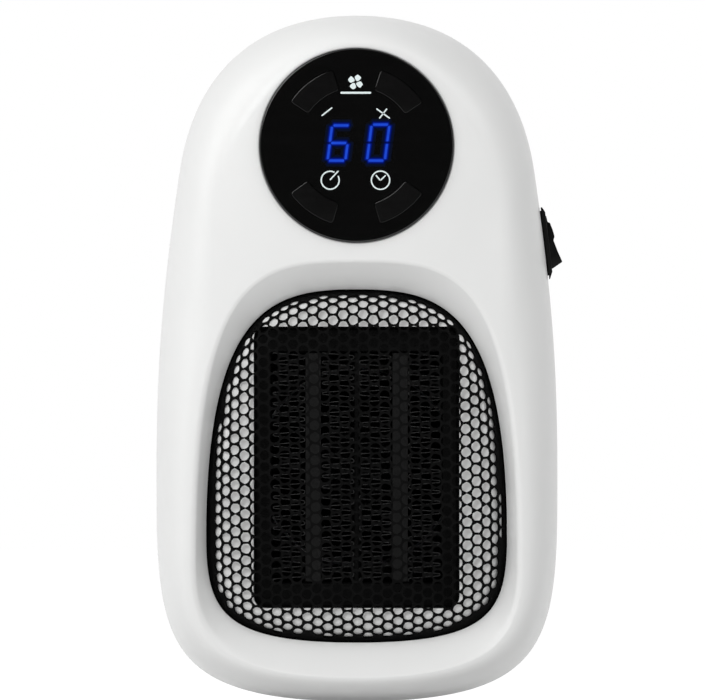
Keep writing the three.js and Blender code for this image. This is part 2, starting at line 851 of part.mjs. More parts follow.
function grille_sheet() {
  const feet = rays.map((ray) => ray.outlet - grille_play);
  const reaches = [
    rays.map((ray) => ray.outlet + grille_rim),
    ...edge_shares.map((share) => feet.map((foot) => foot - edge_width * share)),
  ];
  const thinning = [0, sheet, sheet * thin_share, 0];
  const flat = [];
  const shrunk = [];
  reaches.forEach((radii, k) => radii.forEach((radius, i) => {
    const aim = (length) => new THREE.Vector2(
      length * Math.sin(rays[i].angle), length * Math.cos(rays[i].angle));
    flat.push(aim(radius));
    shrunk.push(aim(radius - thinning[k]));
  }));
  const count = rays.length;
  const faces = [];
  for (let k = 0; k + 1 < reaches.length; k += 1) {
    for (let i = 0; i < count; i += 1) {
      const j = (i + 1) % count;
      const [a, b] = [k * count + i, k * count + j];
      faces.push([a, a + count, b], [b, a + count, b + count]);
    }
  }
  const border_start = (reaches.length - 1) * count;
  const border = flat.slice(border_start).reverse();
  const holes = hole_places();
  const field = [...border, ...holes.flat()];
  const index_of = (i) => (i < count ? border_start + count - 1 - i : border_start + i);
  const filled = THREE.ShapeUtils.triangulateShape(border, holes).map((face) => {
    const [a, b, c] = face.map((i) => field[i]);
    const left = (b.x - a.x) * (c.y - a.y) - (b.y - a.y) * (c.x - a.x);
    return left > 0 ? face : [face[0], face[2], face[1]];
  });
  flat.push(...holes.flat());
  shrunk.push(...holes.flat());
  const turned_faces = evened(field, filled).map((face) => face.map(index_of));
  const lifted = (points, y) => points.map((point, i) => {
    const rise = i < count ? 0 : grille_rise(flat[i].x, flat[i].y);
    return [point.x, y - rise, point.y];
  });
  return thick_sheet(
    lifted(flat, rim_front_y), lifted(shrunk, rim_back_y), [...faces, ...turned_faces]);
}
place(fan_group, 'outlet_grille', grille_sheet(), black_steel);

// Outlet baffle: a flange behind the grille's rim and a sleeve round the heater
const sleeve_inside = rounded(
  sleeve_width - sleeve_wall * 2, sleeve_height - sleeve_wall * 2, sleeve_corner - sleeve_wall);
{
  const rim = new THREE.Shape(rays.map((ray) => {
    const radius = ray.outlet + grille_rim;
    return new THREE.Vector2(radius * Math.sin(ray.angle), radius * Math.cos(ray.angle));
  }));
  const flange = solid(prism(rim, flange_back_y, flange_front_y));
  const outer = rounded(sleeve_width, sleeve_height, sleeve_corner);
  const tube = solid(prism(outer, sleeve_back_y, flange_front_y + sleeve_flange / 2));
  const bore = solid(prism(sleeve_inside, sleeve_back_y + cut_overrun, flange_front_y - cut_overrun));
  place(fan_group, 'outlet_baffle', flange.add(tube).subtract(bore), white_plastic);
}

// Heater: a frame with four packs of folded fins, two bars and a separator
const stack = [
  { name: 'fin_pack_1', width: fin_width, fins: true },
  { name: 'heater_bar_left', width: bar_width },
  { name: 'fin_pack_2', width: fin_width, fins: true },
  { name: 'heater_separator', width: separator_width },
  { name: 'fin_pack_3', width: fin_width, fins: true },
  { name: 'heater_bar_right', width: bar_width },
  { name: 'fin_pack_4', width: fin_width, fins: true },
];
const stack_width = stack.reduce((sum, item) => sum + item.width + side_gap, side_gap);
const stack_height = frame_height - frame_head * 2 - seat_gap * 2;
const fin_back_y = heater_back_y - (frame_depth - fin_depth) / 2;
{
  const outline = rounded(frame_width, frame_height, sleeve_corner - sleeve_wall - seat_gap);
  const x = stack_width / 2;
  const z = stack_height / 2 + seat_gap;
  outline.holes.push(new THREE.Path([
    new THREE.Vector2(-x, -z), new THREE.Vector2(x, -z),
    new THREE.Vector2(x, z), new THREE.Vector2(-x, z),
  ]));
  place(fan_group, 'heater_frame', prism(outline, heater_back_y, heater_front_y), black_plastic);
}

// One strip folded to and fro, with sharp folds at the bars
function folded_fins() {
  const folds = Math.floor(stack_height / fin_pitch);
  const rise = stack_height / folds;
  const fold = fin_width * fin_sheet / (rise + fin_sheet);
  const half = fin_width / 2;
  const one_side = [];
  const other_side = [];
  for (let k = 0; k <= folds; k += 1) {
    const z = -stack_height / 2 + k * rise;
    one_side.push(new THREE.Vector2(k % 2 ? half : fold - half, z));
    other_side.push(new THREE.Vector2(k % 2 ? half - fold : -half, z));
  }
  const strip = new THREE.Shape([...one_side, ...other_side.reverse()]);
  return prism(strip, fin_back_y, fin_back_y - fin_depth);
}

let stack_x = -stack_width / 2 + side_gap;
for (const item of stack) {
  const form = item.fins ? folded_fins()
    : block(item.width, fin_back_y, fin_back_y - fin_depth, stack_height);
  const mesh = place(fan_group, item.name, form, item.fins ? aluminium : black_plastic);
  mesh.position.x = stack_x + item.width / 2;
  stack_x += item.width + side_gap;
}

const bar_x = separator_width / 2 + fin_width + bar_width / 2 + side_gap * 2;
const tab_back_y = fin_back_y + seat_gap + tab_length;
for (const [name, side] of [['live_tab', 1], ['neutral_tab', -1]]) {
  const tab = block(tab_width, tab_back_y, fin_back_y + seat_gap, tab_sheet);
  place(fan_group, name, tab, nickel).position.set(side * bar_x, 0, tab_width - stack_height / 2);
}
const cutout_z = sleeve_height / 2 - sleeve_wall - seat_gap - cutout_radius;
place(fan_group, 'thermal_cutout', rod(
  cutout_radius, heater_back_y + seat_gap + cutout_depth, heater_back_y + seat_gap, round_count / 2,
), nickel).position.z = cutout_z;

// Fan frame: plate with crossed spokes, inlet ring and motor cup
const cup_inner = motor_radius + seat_gap;
const cup_outer = cup_inner + motor_cup_wall;
{
  const plate = rounded(sleeve_width, sleeve_height, sleeve_corner);
  for (const spot of fan_screws) {
    plate.holes.push(round_hole(spot.x, spot.z - centre_z, pilot_radius));
  }
  const inner = fan_bore / 2;
  const flat = solid(prism(plate, plate_back_y, plate_front_y, 2));
  const tube = solid(
    rod(inner + fan_wall, fan_back_y, plate_front_y + plate_depth / 2, round_count));
  const opening = solid(
    rod(inner, fan_back_y + cut_overrun, plate_front_y - cut_overrun, round_count));
  const spokes = [
    block(fan_bore + fan_wall, plate_back_y, plate_front_y, spoke_width),
    block(spoke_width, plate_back_y, plate_front_y, fan_bore + fan_wall),
  ].map(solid);
  const cup_front_y = plate_front_y - motor_cup_depth;
  const cup = solid(rod(cup_outer, plate_back_y, cup_front_y, round_count / 2));
  const motor_seat = solid(
    rod(cup_inner, plate_front_y, cup_front_y - cut_overrun, round_count / 2));
  const shaft_hole = solid(rod(
    shaft_radius + slide_gap, plate_back_y + cut_overrun, plate_front_y - cut_overrun,
    post_side_count));
  const ring_part = flat.add(tube).subtract(opening);
  const frame = without(joined([ring_part, ...spokes, cup]), [motor_seat, shaft_hole]);
  place(fan_group, 'fan_frame', frame, grey_plastic);
}
const shaft_front_y = motor_front_y + motor_end;
place(fan_group, 'fan_motor', turned([
  [shaft_radius + slide_gap, motor_back_y], [motor_radius, motor_back_y],
  [motor_radius, motor_front_y], [0, motor_front_y],
  [0, shaft_front_y - seat_gap], [shaft_radius + slide_gap, shaft_front_y - seat_gap],
], round_count / 2), steel);
place(fan_group, 'motor_shaft', rod(shaft_radius, impeller_back_y, shaft_front_y, post_side_count), steel);

// Impeller: seven twisted vanes on a hub
function vane(turn) {
  const rings = [];
  const root = hub_radius - vane_sheet;
  const tip = fan_bore / 2 - blade_play;
  const middle_y = (impeller_back_y + impeller_front_y) / 2;
  for (let k = 0; k <= vane_station_count; k += 1) {
    const share = k / vane_station_count;
    const radius = mixed(root, tip, share);
    const lean = radians(mixed(root_angle, tip_angle, share));
    const chord = mixed(root_chord, tip_chord, share) / 2;
    const [rise, run] = [Math.sin(lean), Math.cos(lean)];
    rings.push([[-1, -1], [1, -1], [1, 1], [-1, 1]].map(([along, across]) => {
      const side = along * chord * run - across * vane_sheet / 2 * rise;
      const y = middle_y + along * chord * rise + across * vane_sheet / 2 * run;
      return [Math.sqrt(Math.max(radius * radius - side * side, 0)), y, side];
    }));
  }
  return solid(skin(rings, true).rotateY(turn));
}
{
  const bore = shaft_radius + seat_gap;
  const hub = solid(turned([
    [bore, impeller_back_y], [hub_nose_radius, impeller_back_y],
    [hub_radius, impeller_back_y - hub_nose], [hub_radius, impeller_front_y],
    [bore, impeller_front_y],
  ], round_count / 2));
  const vanes = Array.from({ length: blade_count }, (_, k) => vane(Math.PI * 2 * k / blade_count));
  const spare = solid(rod(
    bore, impeller_back_y + cut_overrun, impeller_front_y - cut_overrun, round_count / 2));
  place(fan_group, 'impeller', joined([hub, ...vanes]).subtract(spare), black_plastic);
}

// Screws: the head lies on the side of the seat that is given, the tip on the other.
function screw(name, spot, seat_y, side, length = screw_length) {
  const under = seat_y + side * seat_gap;
  const top = under + side * screw_head;
  const tip = under - side * length;
  const form = turned([
    [0, top], [screw_head_radius, top], [screw_head_radius, under],
    [screw_radius, under], [screw_radius, tip], [0, tip],
  ], screw_side_count);
  place(heater, name, form, steel).position.set(spot.x, 0, spot.z);
}
const well_floor_y = parting_y + seat_gap / 2 + well_floor;
cover_screws.forEach((spot, k) => screw(`cover_screw_${k + 1}`, spot, well_floor_y, 1));
retainer_screws.forEach((spot, k) =>
  screw(`retainer_screw_${k + 1}`, spot, retainer_front_y, -1, short_screw_length));
fan_screws.forEach((spot, k) => screw(`fan_screw_${k + 1}`, spot, plate_front_y, -1));
power_screws.slice(0, 2).forEach(
  (spot, k) => screw(`board_screw_${k + 1}`, spot, power_board_y, -1));

// Turning plug: turret, two prongs with feet, two slip rings
function prong_outline(ring_radius, side, grow) {
  const half = prong_sheet / 2 + grow;
  const blade = prong_spacing / 2;
  const foot_back = turret_front_y + prong_foot_depth + grow;
  const foot_front = turret_front_y + prong_foot_depth - prong_sheet - grow;
  const riser_end = turret_front_y - (grow > 0 ? cut_overrun : 0);
  const tip = grow > 0 ? cut_overrun : prong_length;
  const points = [
    [blade - half, tip - (grow > 0 ? 0 : prong_tip)], [blade - half * prong_tip_share, tip],
    [blade + half * prong_tip_share, tip], [blade + half, tip - (grow > 0 ? 0 : prong_tip)],
    [blade + half, foot_back], [ring_radius + half, foot_back],
    [ring_radius + half, riser_end], [ring_radius - half, riser_end],
    [ring_radius - half, foot_front], [blade - half, foot_front],
  ];
  return new THREE.Shape(points.map(([x, y]) => new THREE.Vector2(side * x, y)));
}

function prong(ring_radius, side, grow) {
  const depth = prong_width + grow * 2;
  const geometry = new THREE.ExtrudeGeometry(
    prong_outline(ring_radius, side, grow), { depth, bevelEnabled: false });
  return solid(geometry.translate(0, 0, -depth / 2));
}
const prongs = [['live', live_ring_radius, 1], ['neutral', neutral_ring_radius, -1]];

function stop_lug(middle_angle, back, front) {
  return solid(prism(sector(stop_inner_radius, stop_outer_radius, middle_angle, stop_angle), back, front, 3));
}
{
  const barrel = solid(turned([
    [0, 0], [turret_radius - turret_chamfer, 0], [turret_radius, -turret_chamfer],
    [turret_radius, turret_back_y], [flange_radius, turret_back_y],
    [flange_radius, turret_front_y], [0, turret_front_y],
  ], round_count));
  const lug = stop_lug(90, turret_front_y + flange_depth / 2, turret_front_y - stop_height);
  const slots = prongs.map(([, radius, side]) => prong(radius, side, seat_gap));
  place(plug_group, 'plug_turret', without(barrel.add(lug), slots), white_plastic);
}
for (const [name, radius, side] of prongs) {
  const eye_y = prong_hole_place;
  const eye = solid(rod(prong_hole / 2, prong_spacing, -prong_spacing, 12).rotateZ(Math.PI / 2)
    .translate(side * prong_spacing / 2, eye_y, 0));
  place(plug_group, `${name}_prong`, prong(radius, side, 0).subtract(eye), nickel);
  const [inner, outer] = [radius - ring_width / 2, radius + ring_width / 2];
  place(plug_group, `${name}_slip_ring`, turned([
    [inner, ring_back_y], [outer, ring_back_y], [outer, ring_front_y], [inner, ring_front_y],
  ], round_count / 2), brass);
}

// Retainer of the turret, with the brushes on the slip rings
{
  const bare = solid(turned([
    [brush_width, retainer_back_y], [retainer_hold, retainer_back_y],
    [retainer_hold, turret_front_y - seat_gap], [flange_radius + slide_gap, turret_front_y - seat_gap],
    [flange_radius + slide_gap, back_inner_y - seat_gap], [retainer_radius, back_inner_y - seat_gap],
    [retainer_radius, retainer_front_y], [brush_width, retainer_front_y],
  ], round_count));
  const lug = stop_lug(270, retainer_back_y + stop_height, retainer_back_y - retainer_sheet / 2);
  const bores = retainer_screws.flatMap((spot) => [
    post(small_post_radius + slide_gap, 0, retainer_back_y, spot),
    post(pilot_radius, 0, retainer_front_y - cut_overrun, spot),
  ]);
  const size = brush_width + slide_gap * 2;
  const windows = prongs.map(([, radius, side]) => solid(
    block(size, 0, retainer_front_y - cut_overrun, size, side * radius)));
  place(heater, 'plug_retainer', without(bare.add(lug), [...bores, ...windows]), grey_plastic);
}
for (const [name, radius, side] of prongs) {
  const front = retainer_front_y - seat_gap;
  const stem = solid(block(brush_width, ring_front_y - seat_gap, front - brush_head_sheet / 2, brush_width));
  const cap = solid(block(brush_head, front, front - brush_head_sheet, brush_head));
  place(heater, `${name}_brush`, stem.add(cap), brass).position.x = side * radius;
}

// Control panel with four keys
const keys = Object.keys(key_mean_angles);
function key_prism(name, grow, back, front) {
  const mean = (key_inner_radius + key_outer_radius) / 2;
  const more = THREE.MathUtils.radToDeg(grow / mean) * 2;
  const span = key_span_angles[name] + more;
  const outline = sector(
    key_inner_radius - grow, key_outer_radius + grow, key_mean_angles[name], span);
  return solid(prism(outline, back, front, 3));
}
const skirt_outer = panel_radius - side_gap;
const skirt_inner = skirt_outer - panel_skirt_wall;
const skirt_back_y = display_board_y - seat_gap;
{
  const body = solid(turned([
    [0, panel_front_y], [panel_radius - panel_bevel, panel_front_y],
    [panel_radius, panel_front_y + panel_bevel], [panel_radius, panel_flange_y],
    [panel_radius + panel_flange, panel_flange_y],
    [panel_radius + panel_flange, panel_flange_y + panel_flange_sheet],
    [skirt_outer, panel_flange_y + panel_flange_sheet], [skirt_outer, skirt_back_y],
    [skirt_inner, skirt_back_y], [skirt_inner, panel_back_y], [0, panel_back_y],
  ], round_count));
  const holes = keys.map((name) =>
    key_prism(name, slide_gap, panel_back_y + cut_overrun, panel_front_y - cut_overrun));
  place(panel_group, 'control_panel', without(body, holes), gloss_black);
}
const key_front_y = panel_front_y + key_recess;
const key_lip_y = panel_back_y + seat_gap;
const tact_body_y = display_board_y - seat_gap;
const tact_top_y = tact_body_y - tact_depth - tact_button_height;
for (const name of keys) {
  const spot = polar((key_inner_radius + key_outer_radius) / 2, key_mean_angles[name]);
  const stem_end = tact_top_y - key_travel - side_gap;
  const cap = key_prism(name, 0, key_lip_y + key_lip_sheet / 2, key_front_y);
  const lip = key_prism(name, key_lip, key_lip_y + key_lip_sheet, key_lip_y);
  const stem = post(key_stem_radius, stem_end, key_lip_y + key_lip_sheet / 2, spot);
  place(panel_group, `${name}_key`, joined([cap, lip, stem]), gloss_black);
  const body = solid(
    block(tact_width, tact_body_y, tact_body_y - tact_depth, tact_width, spot.x, spot.z));
  const button = post(tact_button_radius, tact_body_y - tact_depth / 2, tact_top_y, spot);
  place(panel_group, `${name}_tact_switch`, body.add(button), black_plastic);
}
place(panel_group, 'display_board', rod(
  skirt_outer, display_board_y + board_sheet, display_board_y, round_count), board_green);
place(panel_group, 'led_display', block(
  display_width, display_board_y - seat_gap, panel_back_y + seat_gap, display_height), display_dark);

// Power board and what it carries
{
  const board = rounded(power_width, power_height, power_corner);
  for (const spot of power_screws.slice(0, 2)) {
    board.holes.push(round_hole(spot.x, spot.z - power_rise, pilot_radius));
  }
  const form = prism(board, power_board_y + board_sheet, power_board_y, 2);
  place(heater, 'power_board', form, board_green).position.z = power_rise;
  const front = power_board_y - seat_gap;
  const boxes = [
    ['heater_relay', relay_size, relay_place, black_plastic],
    ['film_capacitor', film_size, film_place, blue_plastic],
    ['fuse', fuse_size, fuse_place, white_plastic],
  ];
  for (const [name, size, spot, material] of boxes) {
    const form = block(size.width, front, front - size.depth, size.height);
    place(heater, name, form, material).position.set(spot.side, 0, spot.rise);
  }
  const can = rod(supply_radius, front, front - supply_depth, 16);
  place(heater, 'supply_capacitor', can, aluminium)
    .position.set(supply_place.side, 0, supply_place.rise);
}

// Rocker switch on the right flank
{
  const base = bezel_front - switch_rim;
  const depth = base - switch_body_depth;
  const rim = solid(flank_block(bezel_back, bezel_front, switch_width, switch_height));
  const body = solid(flank_block(depth, bezel_back + switch_rim / 2, switch_body_width, switch_body_height));
  const bay = solid(flank_block(-bay_depth, bezel_front + cut_overrun, bay_width, bay_height));
  const pin = solid(rod(rocker_pin_radius + slide_gap, switch_width, -switch_width, 12, -rocker_pivot));
  const reachable = solid(flank_block(
    -bay_depth, bezel_back - seat_gap, switch_body_width + cut_overrun, bay_height));
  const housing = without(rim.add(body), [bay, pin.intersect(reachable)]);
  place(switch_group, 'switch_housing', housing, black_plastic);
  for (const [name, side] of [['upper_terminal', 1], ['lower_terminal', -1]]) {
    const inner = depth - seat_gap;
    const blade = flank_block(inner - terminal_length, inner, terminal_width, terminal_sheet);
    place(switch_group, name, blade, nickel).position.z = side * terminal_spacing / 2;
  }
}

// The rocker is drawn level about its pin, then tipped with its lower half out.
{
  const high = rocker_crest + rocker_pivot;
  const waist = rocker_waist + rocker_pivot;
  const shoulder = rocker_shoulder + rocker_pivot;
  const keel = rocker_belly - rocker_pivot;
  const upper = [
    [waist, 0], [high, rocker_half * rocker_crest_share], [shoulder, rocker_half],
    [-keel * rocker_hip_shares[1], rocker_half * rocker_hip_shares[0]],
    [-keel * rocker_keel_shares[1], rocker_half * rocker_keel_shares[0]],
  ];
  const lower = upper.slice(1).reverse().map(([u, v]) => [u, -v]);
  const outline = new THREE.Shape([...upper, ...lower].map(([u, v]) => new THREE.Vector2(u, v)));
  const half = rocker_width / 2;
  const rocker = solid(prism(outline, half, -half));
  const pins = solid(rod(rocker_pin_radius, half + rocker_pin_reach, -half - rocker_pin_reach, 12));
  const mesh = place(switch_group, 'switch_rocker', rocker.add(pins), gloss_black);
  mesh.position.x = -rocker_pivot;
  mesh.rotation.y = -radians(rocker_angle);
}

export default heater;
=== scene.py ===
# A plug-in fan heater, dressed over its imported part.
# Pieces are drawn in millimetres in the part's own frame: +Z is up and +Y points to the wall.
import functools
from bisect import bisect_left
from math import atan2, copysign, cos, hypot, pi, radians, sin, sqrt, tau

import bmesh
import bpy
from mathutils import Matrix, Vector
from mathutils.geometry import interpolate_bezier
from mathutils.kdtree import KDTree


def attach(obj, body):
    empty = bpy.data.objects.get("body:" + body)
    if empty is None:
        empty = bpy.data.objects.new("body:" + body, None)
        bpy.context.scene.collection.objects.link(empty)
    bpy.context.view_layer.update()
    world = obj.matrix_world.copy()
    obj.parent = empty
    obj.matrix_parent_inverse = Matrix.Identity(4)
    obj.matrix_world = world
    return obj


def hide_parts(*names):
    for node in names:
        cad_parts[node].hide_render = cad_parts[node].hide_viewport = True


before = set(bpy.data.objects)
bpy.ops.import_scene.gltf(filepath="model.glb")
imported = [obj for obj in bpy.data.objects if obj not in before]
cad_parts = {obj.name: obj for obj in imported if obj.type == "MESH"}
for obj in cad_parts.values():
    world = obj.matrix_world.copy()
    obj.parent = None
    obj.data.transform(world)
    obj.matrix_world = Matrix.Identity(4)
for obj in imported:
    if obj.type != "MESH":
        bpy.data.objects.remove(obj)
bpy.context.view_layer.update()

MM = 0.001
WELD = 0.002

# Housing
body_width = 122.0
body_height = 208.6
body_top = 63.7
body_bottom = body_top - body_height
body_shares = [
    (0, 0), (0.98, 0), (1, 0.09), (1, 0.322),
    (1, 0.458), (0.987, 0.571), (0.883, 0.775),
    (0.8135, 0.91), (0.53, 1), (0, 1),
]
wall = 2.2
back_y = -8.0
front_y = -80.0
crown_depth = 3.0
front_rounding = 20.0
front_side_y = -50.0
rear_rounding = 24.0
rear_side_y = -31.0
parting_y = -34.0
parting_gap = 0.3
parting_edge = 0.25
tongue = 0.9
tongue_reach = 1.5
tongue_play = 0.1
ray_count = 400
ray_smoothing = 5
well_radius = 3.2
well_tube_radius = 4.4
well_floor_y = -30.85
well_end_y = -33.6
screw_hole_radius = 1.7
cover_screw_inset = 7.5
inlet_radius = 28.6
inlet_rows = 7
inlet_row_step = 7.6
inlet_slot_height = 3.6
inlet_rib = 4.0

# Outlet recess
outlet_width = 91.3
outlet_height = 107.2
outlet_bottom = -126.8
outlet_shares = [
    (0, 0), (0.89, 0), (1, 0.085), (1, 0.3),
    (1, 0.965), (0.53, 1), (0, 1),
]
recess_width = 98.6
recess_height = 126.3
recess_bottom = -137.2
recess_shares = [
    (0, 0), (0.92, 0), (1, 0.12), (1, 0.28),
    (1, 0.987), (0.6, 1), (0, 1),
]
lip_front_y = -71.0
lip_back_y = -68.8
crest_land = 1.5
crest_land_chin = 0.4
crest_ease_top = 0.8
crest_ease_side = 1.5
crest_ease_chin = 3.0
fan_z = -73.6

# Grille
grille_play = 0.4
grille_rim = 3.0
rim_front_y = -68.5
sheet = 0.6
dome_rise = 8.1
edge_top = (8.0, 8.1, 8.0)
edge_side = (9.2, 6.9, 12.0)
edge_chin = (7.0, 4.6, 20.0)
edge_border = 0.35
rolled_edge = 1.5
baffle_gap = 1.3
baffle_edge_gap = 2.3
baffle_front_y = -73.6
baffle_edge_y = -67.4
baffle_back_y = -65.4
bore_lip = 0.1
hole_pitch = 3.53
hole_radius = 1.5
pattern_x = -0.3
pattern_z = -74.8
pattern_turn = radians(0.87)

# Heater seen through the grille
sleeve_width = 66.6
sleeve_height = 89.6
sleeve_corner = 5.5
sleeve_end_y = -28.8
frame_front_y = -69.5
frame_back_y = -56.0
frame_width = 62.0
frame_height = 85.0
frame_window = 51.6
frame_bevel = 0.8
stack_height = 69.2
fin_width = 10.0
fin_middles = (-20.65, -5.75, 5.75, 20.65)
fin_back_y = -56.55
fin_front_y = -68.95
fin_fold_pitch = 1.56
fin_sheet = 0.22

# Impeller
blade_count = 7
blade_root = 11.0
blade_tip = 29.65
blade_front_y = -24.6
blade_back_y = -14.6
hub_radius = 12.0
hub_bore = 1.2

# Control panel
panel_z = 24.0
panel_radius = 29.3
panel_front_y = -81.3
panel_back_y = -78.9
panel_bevel = 0.35
panel_fall = 0.12
seat_radius = 29.4
seat_lip = 0.6
key_front_y = -81.1
key_back_y = -78.1
key_lip_reach = 0.9
key_corner = 0.8
key_play = 0.18
key_middle = 20.6
keys = {
    "plus": (52.5, 39.0, 17.5, 23.9), "minus": (127.0, 39.0, 17.5, 23.9),
    "power": (234.5, 37.0, 18.3, 24.7), "timer": (305.5, 37.0, 18.3, 24.7),
}

# Switch
switch_place = Matrix((
    (0.99270, 0, -0.12057, 56.898),
    (0, 1, 0, -45.0),
    (0.12057, 0, 0.99270, -5.5),
    (0, 0, 0, 1),
))
rocker_place = Matrix((
    (0.94594, 0, -0.32433, 55.409),
    (0, 1, 0, -45.0),
    (0.32433, 0, 0.94594, -5.681),
    (0, 0, 0, 1),
))
bezel_half_width = 7.5
rocker_half_width = 5.2

# Plug
turret_radius = 21.5
turret_flange = 24.5
turret_inner_y = -13.0
turret_play = 0.3
blade_offset = 6.35
blade_height = 6.35
blade_half = 0.75
blade_root_y = -9.0
blade_end_y = 17.0
blade_hole_y = 11.7
blade_hole_radius = 1.6


class Wire:
    """A shader socket that takes part in sums."""

    def __init__(self, paint, socket):
        self.paint = paint
        self.socket = socket

    def sum_with(self, operation, first, second):
        return self.paint.add("Math", {"operation": operation}, {0: first, 1: second})

    def __add__(self, other):
        return self.sum_with("ADD", self, other)

    def __radd__(self, other):
        return self.sum_with("ADD", other, self)

    def __sub__(self, other):
        return self.sum_with("SUBTRACT", self, other)

    def __rsub__(self, other):
        return self.sum_with("SUBTRACT", other, self)

    def __mul__(self, other):
        return self.sum_with("MULTIPLY", self, other)

    def __rmul__(self, other):
        return self.sum_with("MULTIPLY", other, self)


def colour_of(value):
    """A full colour from a grey level or from its three parts."""
    return (*value, 1.0) if isinstance(value, tuple) else (value, value, value, 1.0)


class Paint:
    """A material or a world, and the nodes in it."""

    def __init__(self, name, store="materials"):
        self.material = getattr(bpy.data, store).new(name)
        self.material.use_nodes = True
        self.tree = self.material.node_tree
        self.tree.nodes.clear()

    def add(self, kind, settings=None, sockets=None, output=0):
        node = self.tree.nodes.new("ShaderNode" + kind)
        for name, value in (settings or {}).items():
            setattr(node, name, value)
        for name, value in (sockets or {}).items():
            if isinstance(value, Wire):
                self.tree.links.new(value.socket, node.inputs[name])
            else:
                node.inputs[name].default_value = value
        return Wire(self, node.outputs[output]) if node.outputs else None

    def place(self, **sockets):
        at = self.add("TexCoord", output="Object")
        return self.add("Mapping", sockets={"Vector": at, **sockets}) if sockets else at

    def noise(self, scale, detail=3.0, roughness=0.5, at=None):
        """Fine unevenness, with the scale in marks per metre."""
        return self.add("TexNoise", sockets={
            "Vector": at or self.place(), "Scale": scale, "Detail": detail, "Roughness": roughness,
        })

    def spread(self, wire, low=0.0, high=1.0, start=0.3, end=0.7):
        """Stretches a value between start and end to run from low to high."""
        return self.add("MapRange", sockets={
            "Value": wire, "From Min": start, "From Max": end, "To Min": low, "To Max": high,
        })

    def blend(self, share, first, second):
        sockets = {0: share, 6: colour_of(first), 7: colour_of(second)}
        return self.add("Mix", {"data_type": "RGBA"}, sockets, output=2)

    def bump(self, height, distance):
        return self.add("Bump", sockets={"Height": height, "Distance": distance, "Strength": 1.0})

    def finish(self, **sockets):
        named = {name.replace("_", " "): value for name, value in sockets.items()}
        shader = self.add("BsdfPrincipled", sockets=named)
        self.add("OutputMaterial", sockets={"Surface": shader})
        return self.material


def moulded_plastic(name, colour, shade, rough, grain=1800.0, depth=0.00002, gloss=0.5, coat=0.0):
    """Moulded plastic with faint cloudiness and a fine spark-eroded grain."""
    paint = Paint(name)
    tint = paint.blend(paint.spread(paint.noise(35.0, 4.0, 0.6)), colour, shade)
    wear = paint.spread(paint.noise(240.0, 5.0, 0.65), rough - 0.05, rough + 0.07)
    skin = paint.bump(paint.noise(grain, 2.0, 0.5), depth)
    return paint.finish(
        Base_Color=tint, Roughness=wear, Normal=skin, Specular_IOR_Level=gloss,
        Coat_Weight=coat, Coat_Roughness=0.18)


def coated_steel(name, colour, shade, rough, gloss):
    """Steel sheet under satin enamel, with a slight orange peel."""
    paint = Paint(name)
    tint = paint.blend(paint.spread(paint.noise(120.0, 4.0, 0.6)), colour, shade)
    wear = paint.spread(paint.noise(500.0, 4.0, 0.6), rough - 0.06, rough + 0.1)
    peel = paint.bump(paint.noise(1400.0, 2.0, 0.4), 0.00003)
    return paint.finish(Base_Color=tint, Roughness=wear, Normal=peel, Specular_IOR_Level=gloss)


def worked_metal(name, colour, shade, rough, stretch=(1.0, 1.0, 1.0)):
    """Bare or plated metal with fine drawing lines."""
    paint = Paint(name)
    lines = paint.noise(900.0, 3.0, 0.6, paint.place(Scale=stretch))
    tint = paint.blend(paint.spread(lines), colour, shade)
    wear = paint.spread(lines, rough - 0.07, rough + 0.1)
    return paint.finish(
        Base_Color=tint, Roughness=wear, Metallic=1.0, Normal=paint.bump(lines, 0.00001))


def gloss_panel(name, colour, rough):
    """Polished black face with faint dust and hairline wiping marks."""
    paint = Paint(name)
    wiped = paint.noise(60.0, 6.0, 0.7, paint.place(Scale=(1.0, 1.0, 6.0)))
    dust = paint.spread(paint.noise(2600.0, 1.0, 0.3), 0.0, 1.0, 0.72, 0.8)
    wear = paint.spread(wiped, rough - 0.02, rough + 0.04) + dust * 0.04
    tint = paint.blend(dust, colour, 0.006)
    return paint.finish(Base_Color=tint, Roughness=wear)


def printed_ink(name, colour):
    """Screen-printed ink with a fine speckle."""
    paint = Paint(name)
    speckle = paint.spread(paint.noise(5200.0, 2.0, 0.5))
    tint = paint.blend(speckle, colour, tuple(0.82 * part for part in colour))
    return paint.finish(Base_Color=tint, Roughness=0.5 + speckle * 0.15)


def lit_segments(name, colour, deep):
    """Blue light behind a diffuser, a little uneven from segment to segment."""
    paint = Paint(name)
    cloud = paint.spread(paint.noise(420.0, 3.0, 0.5))
    grain = paint.spread(paint.noise(3600.0, 2.0, 0.5))
    glow = paint.blend(cloud * 0.7 + grain * 0.3, colour, deep)
    return paint.finish(
        Base_Color=colour_of((0.001, 0.002, 0.01)), Roughness=0.3, Specular_IOR_Level=0.0,
        Emission_Color=glow, Emission_Strength=1.0)


def circuit_board(name):
    """Green board with fine etched tracks."""
    paint = Paint(name)
    tracks = paint.add("TexBrick", {"offset": 0.37, "offset_frequency": 3}, {
        "Vector": paint.place(Rotation=(pi / 2, 0, 0)), "Scale": 260.0, "Mortar Size": 0.05,
        "Color1": colour_of(0.0), "Color2": colour_of(0.2), "Mortar": colour_of(1.0),
    })
    tint = paint.blend(tracks, (0.015, 0.1, 0.045), (0.03, 0.19, 0.08))
    return paint.finish(Base_Color=tint, Roughness=0.4 - tracks * 0.1)


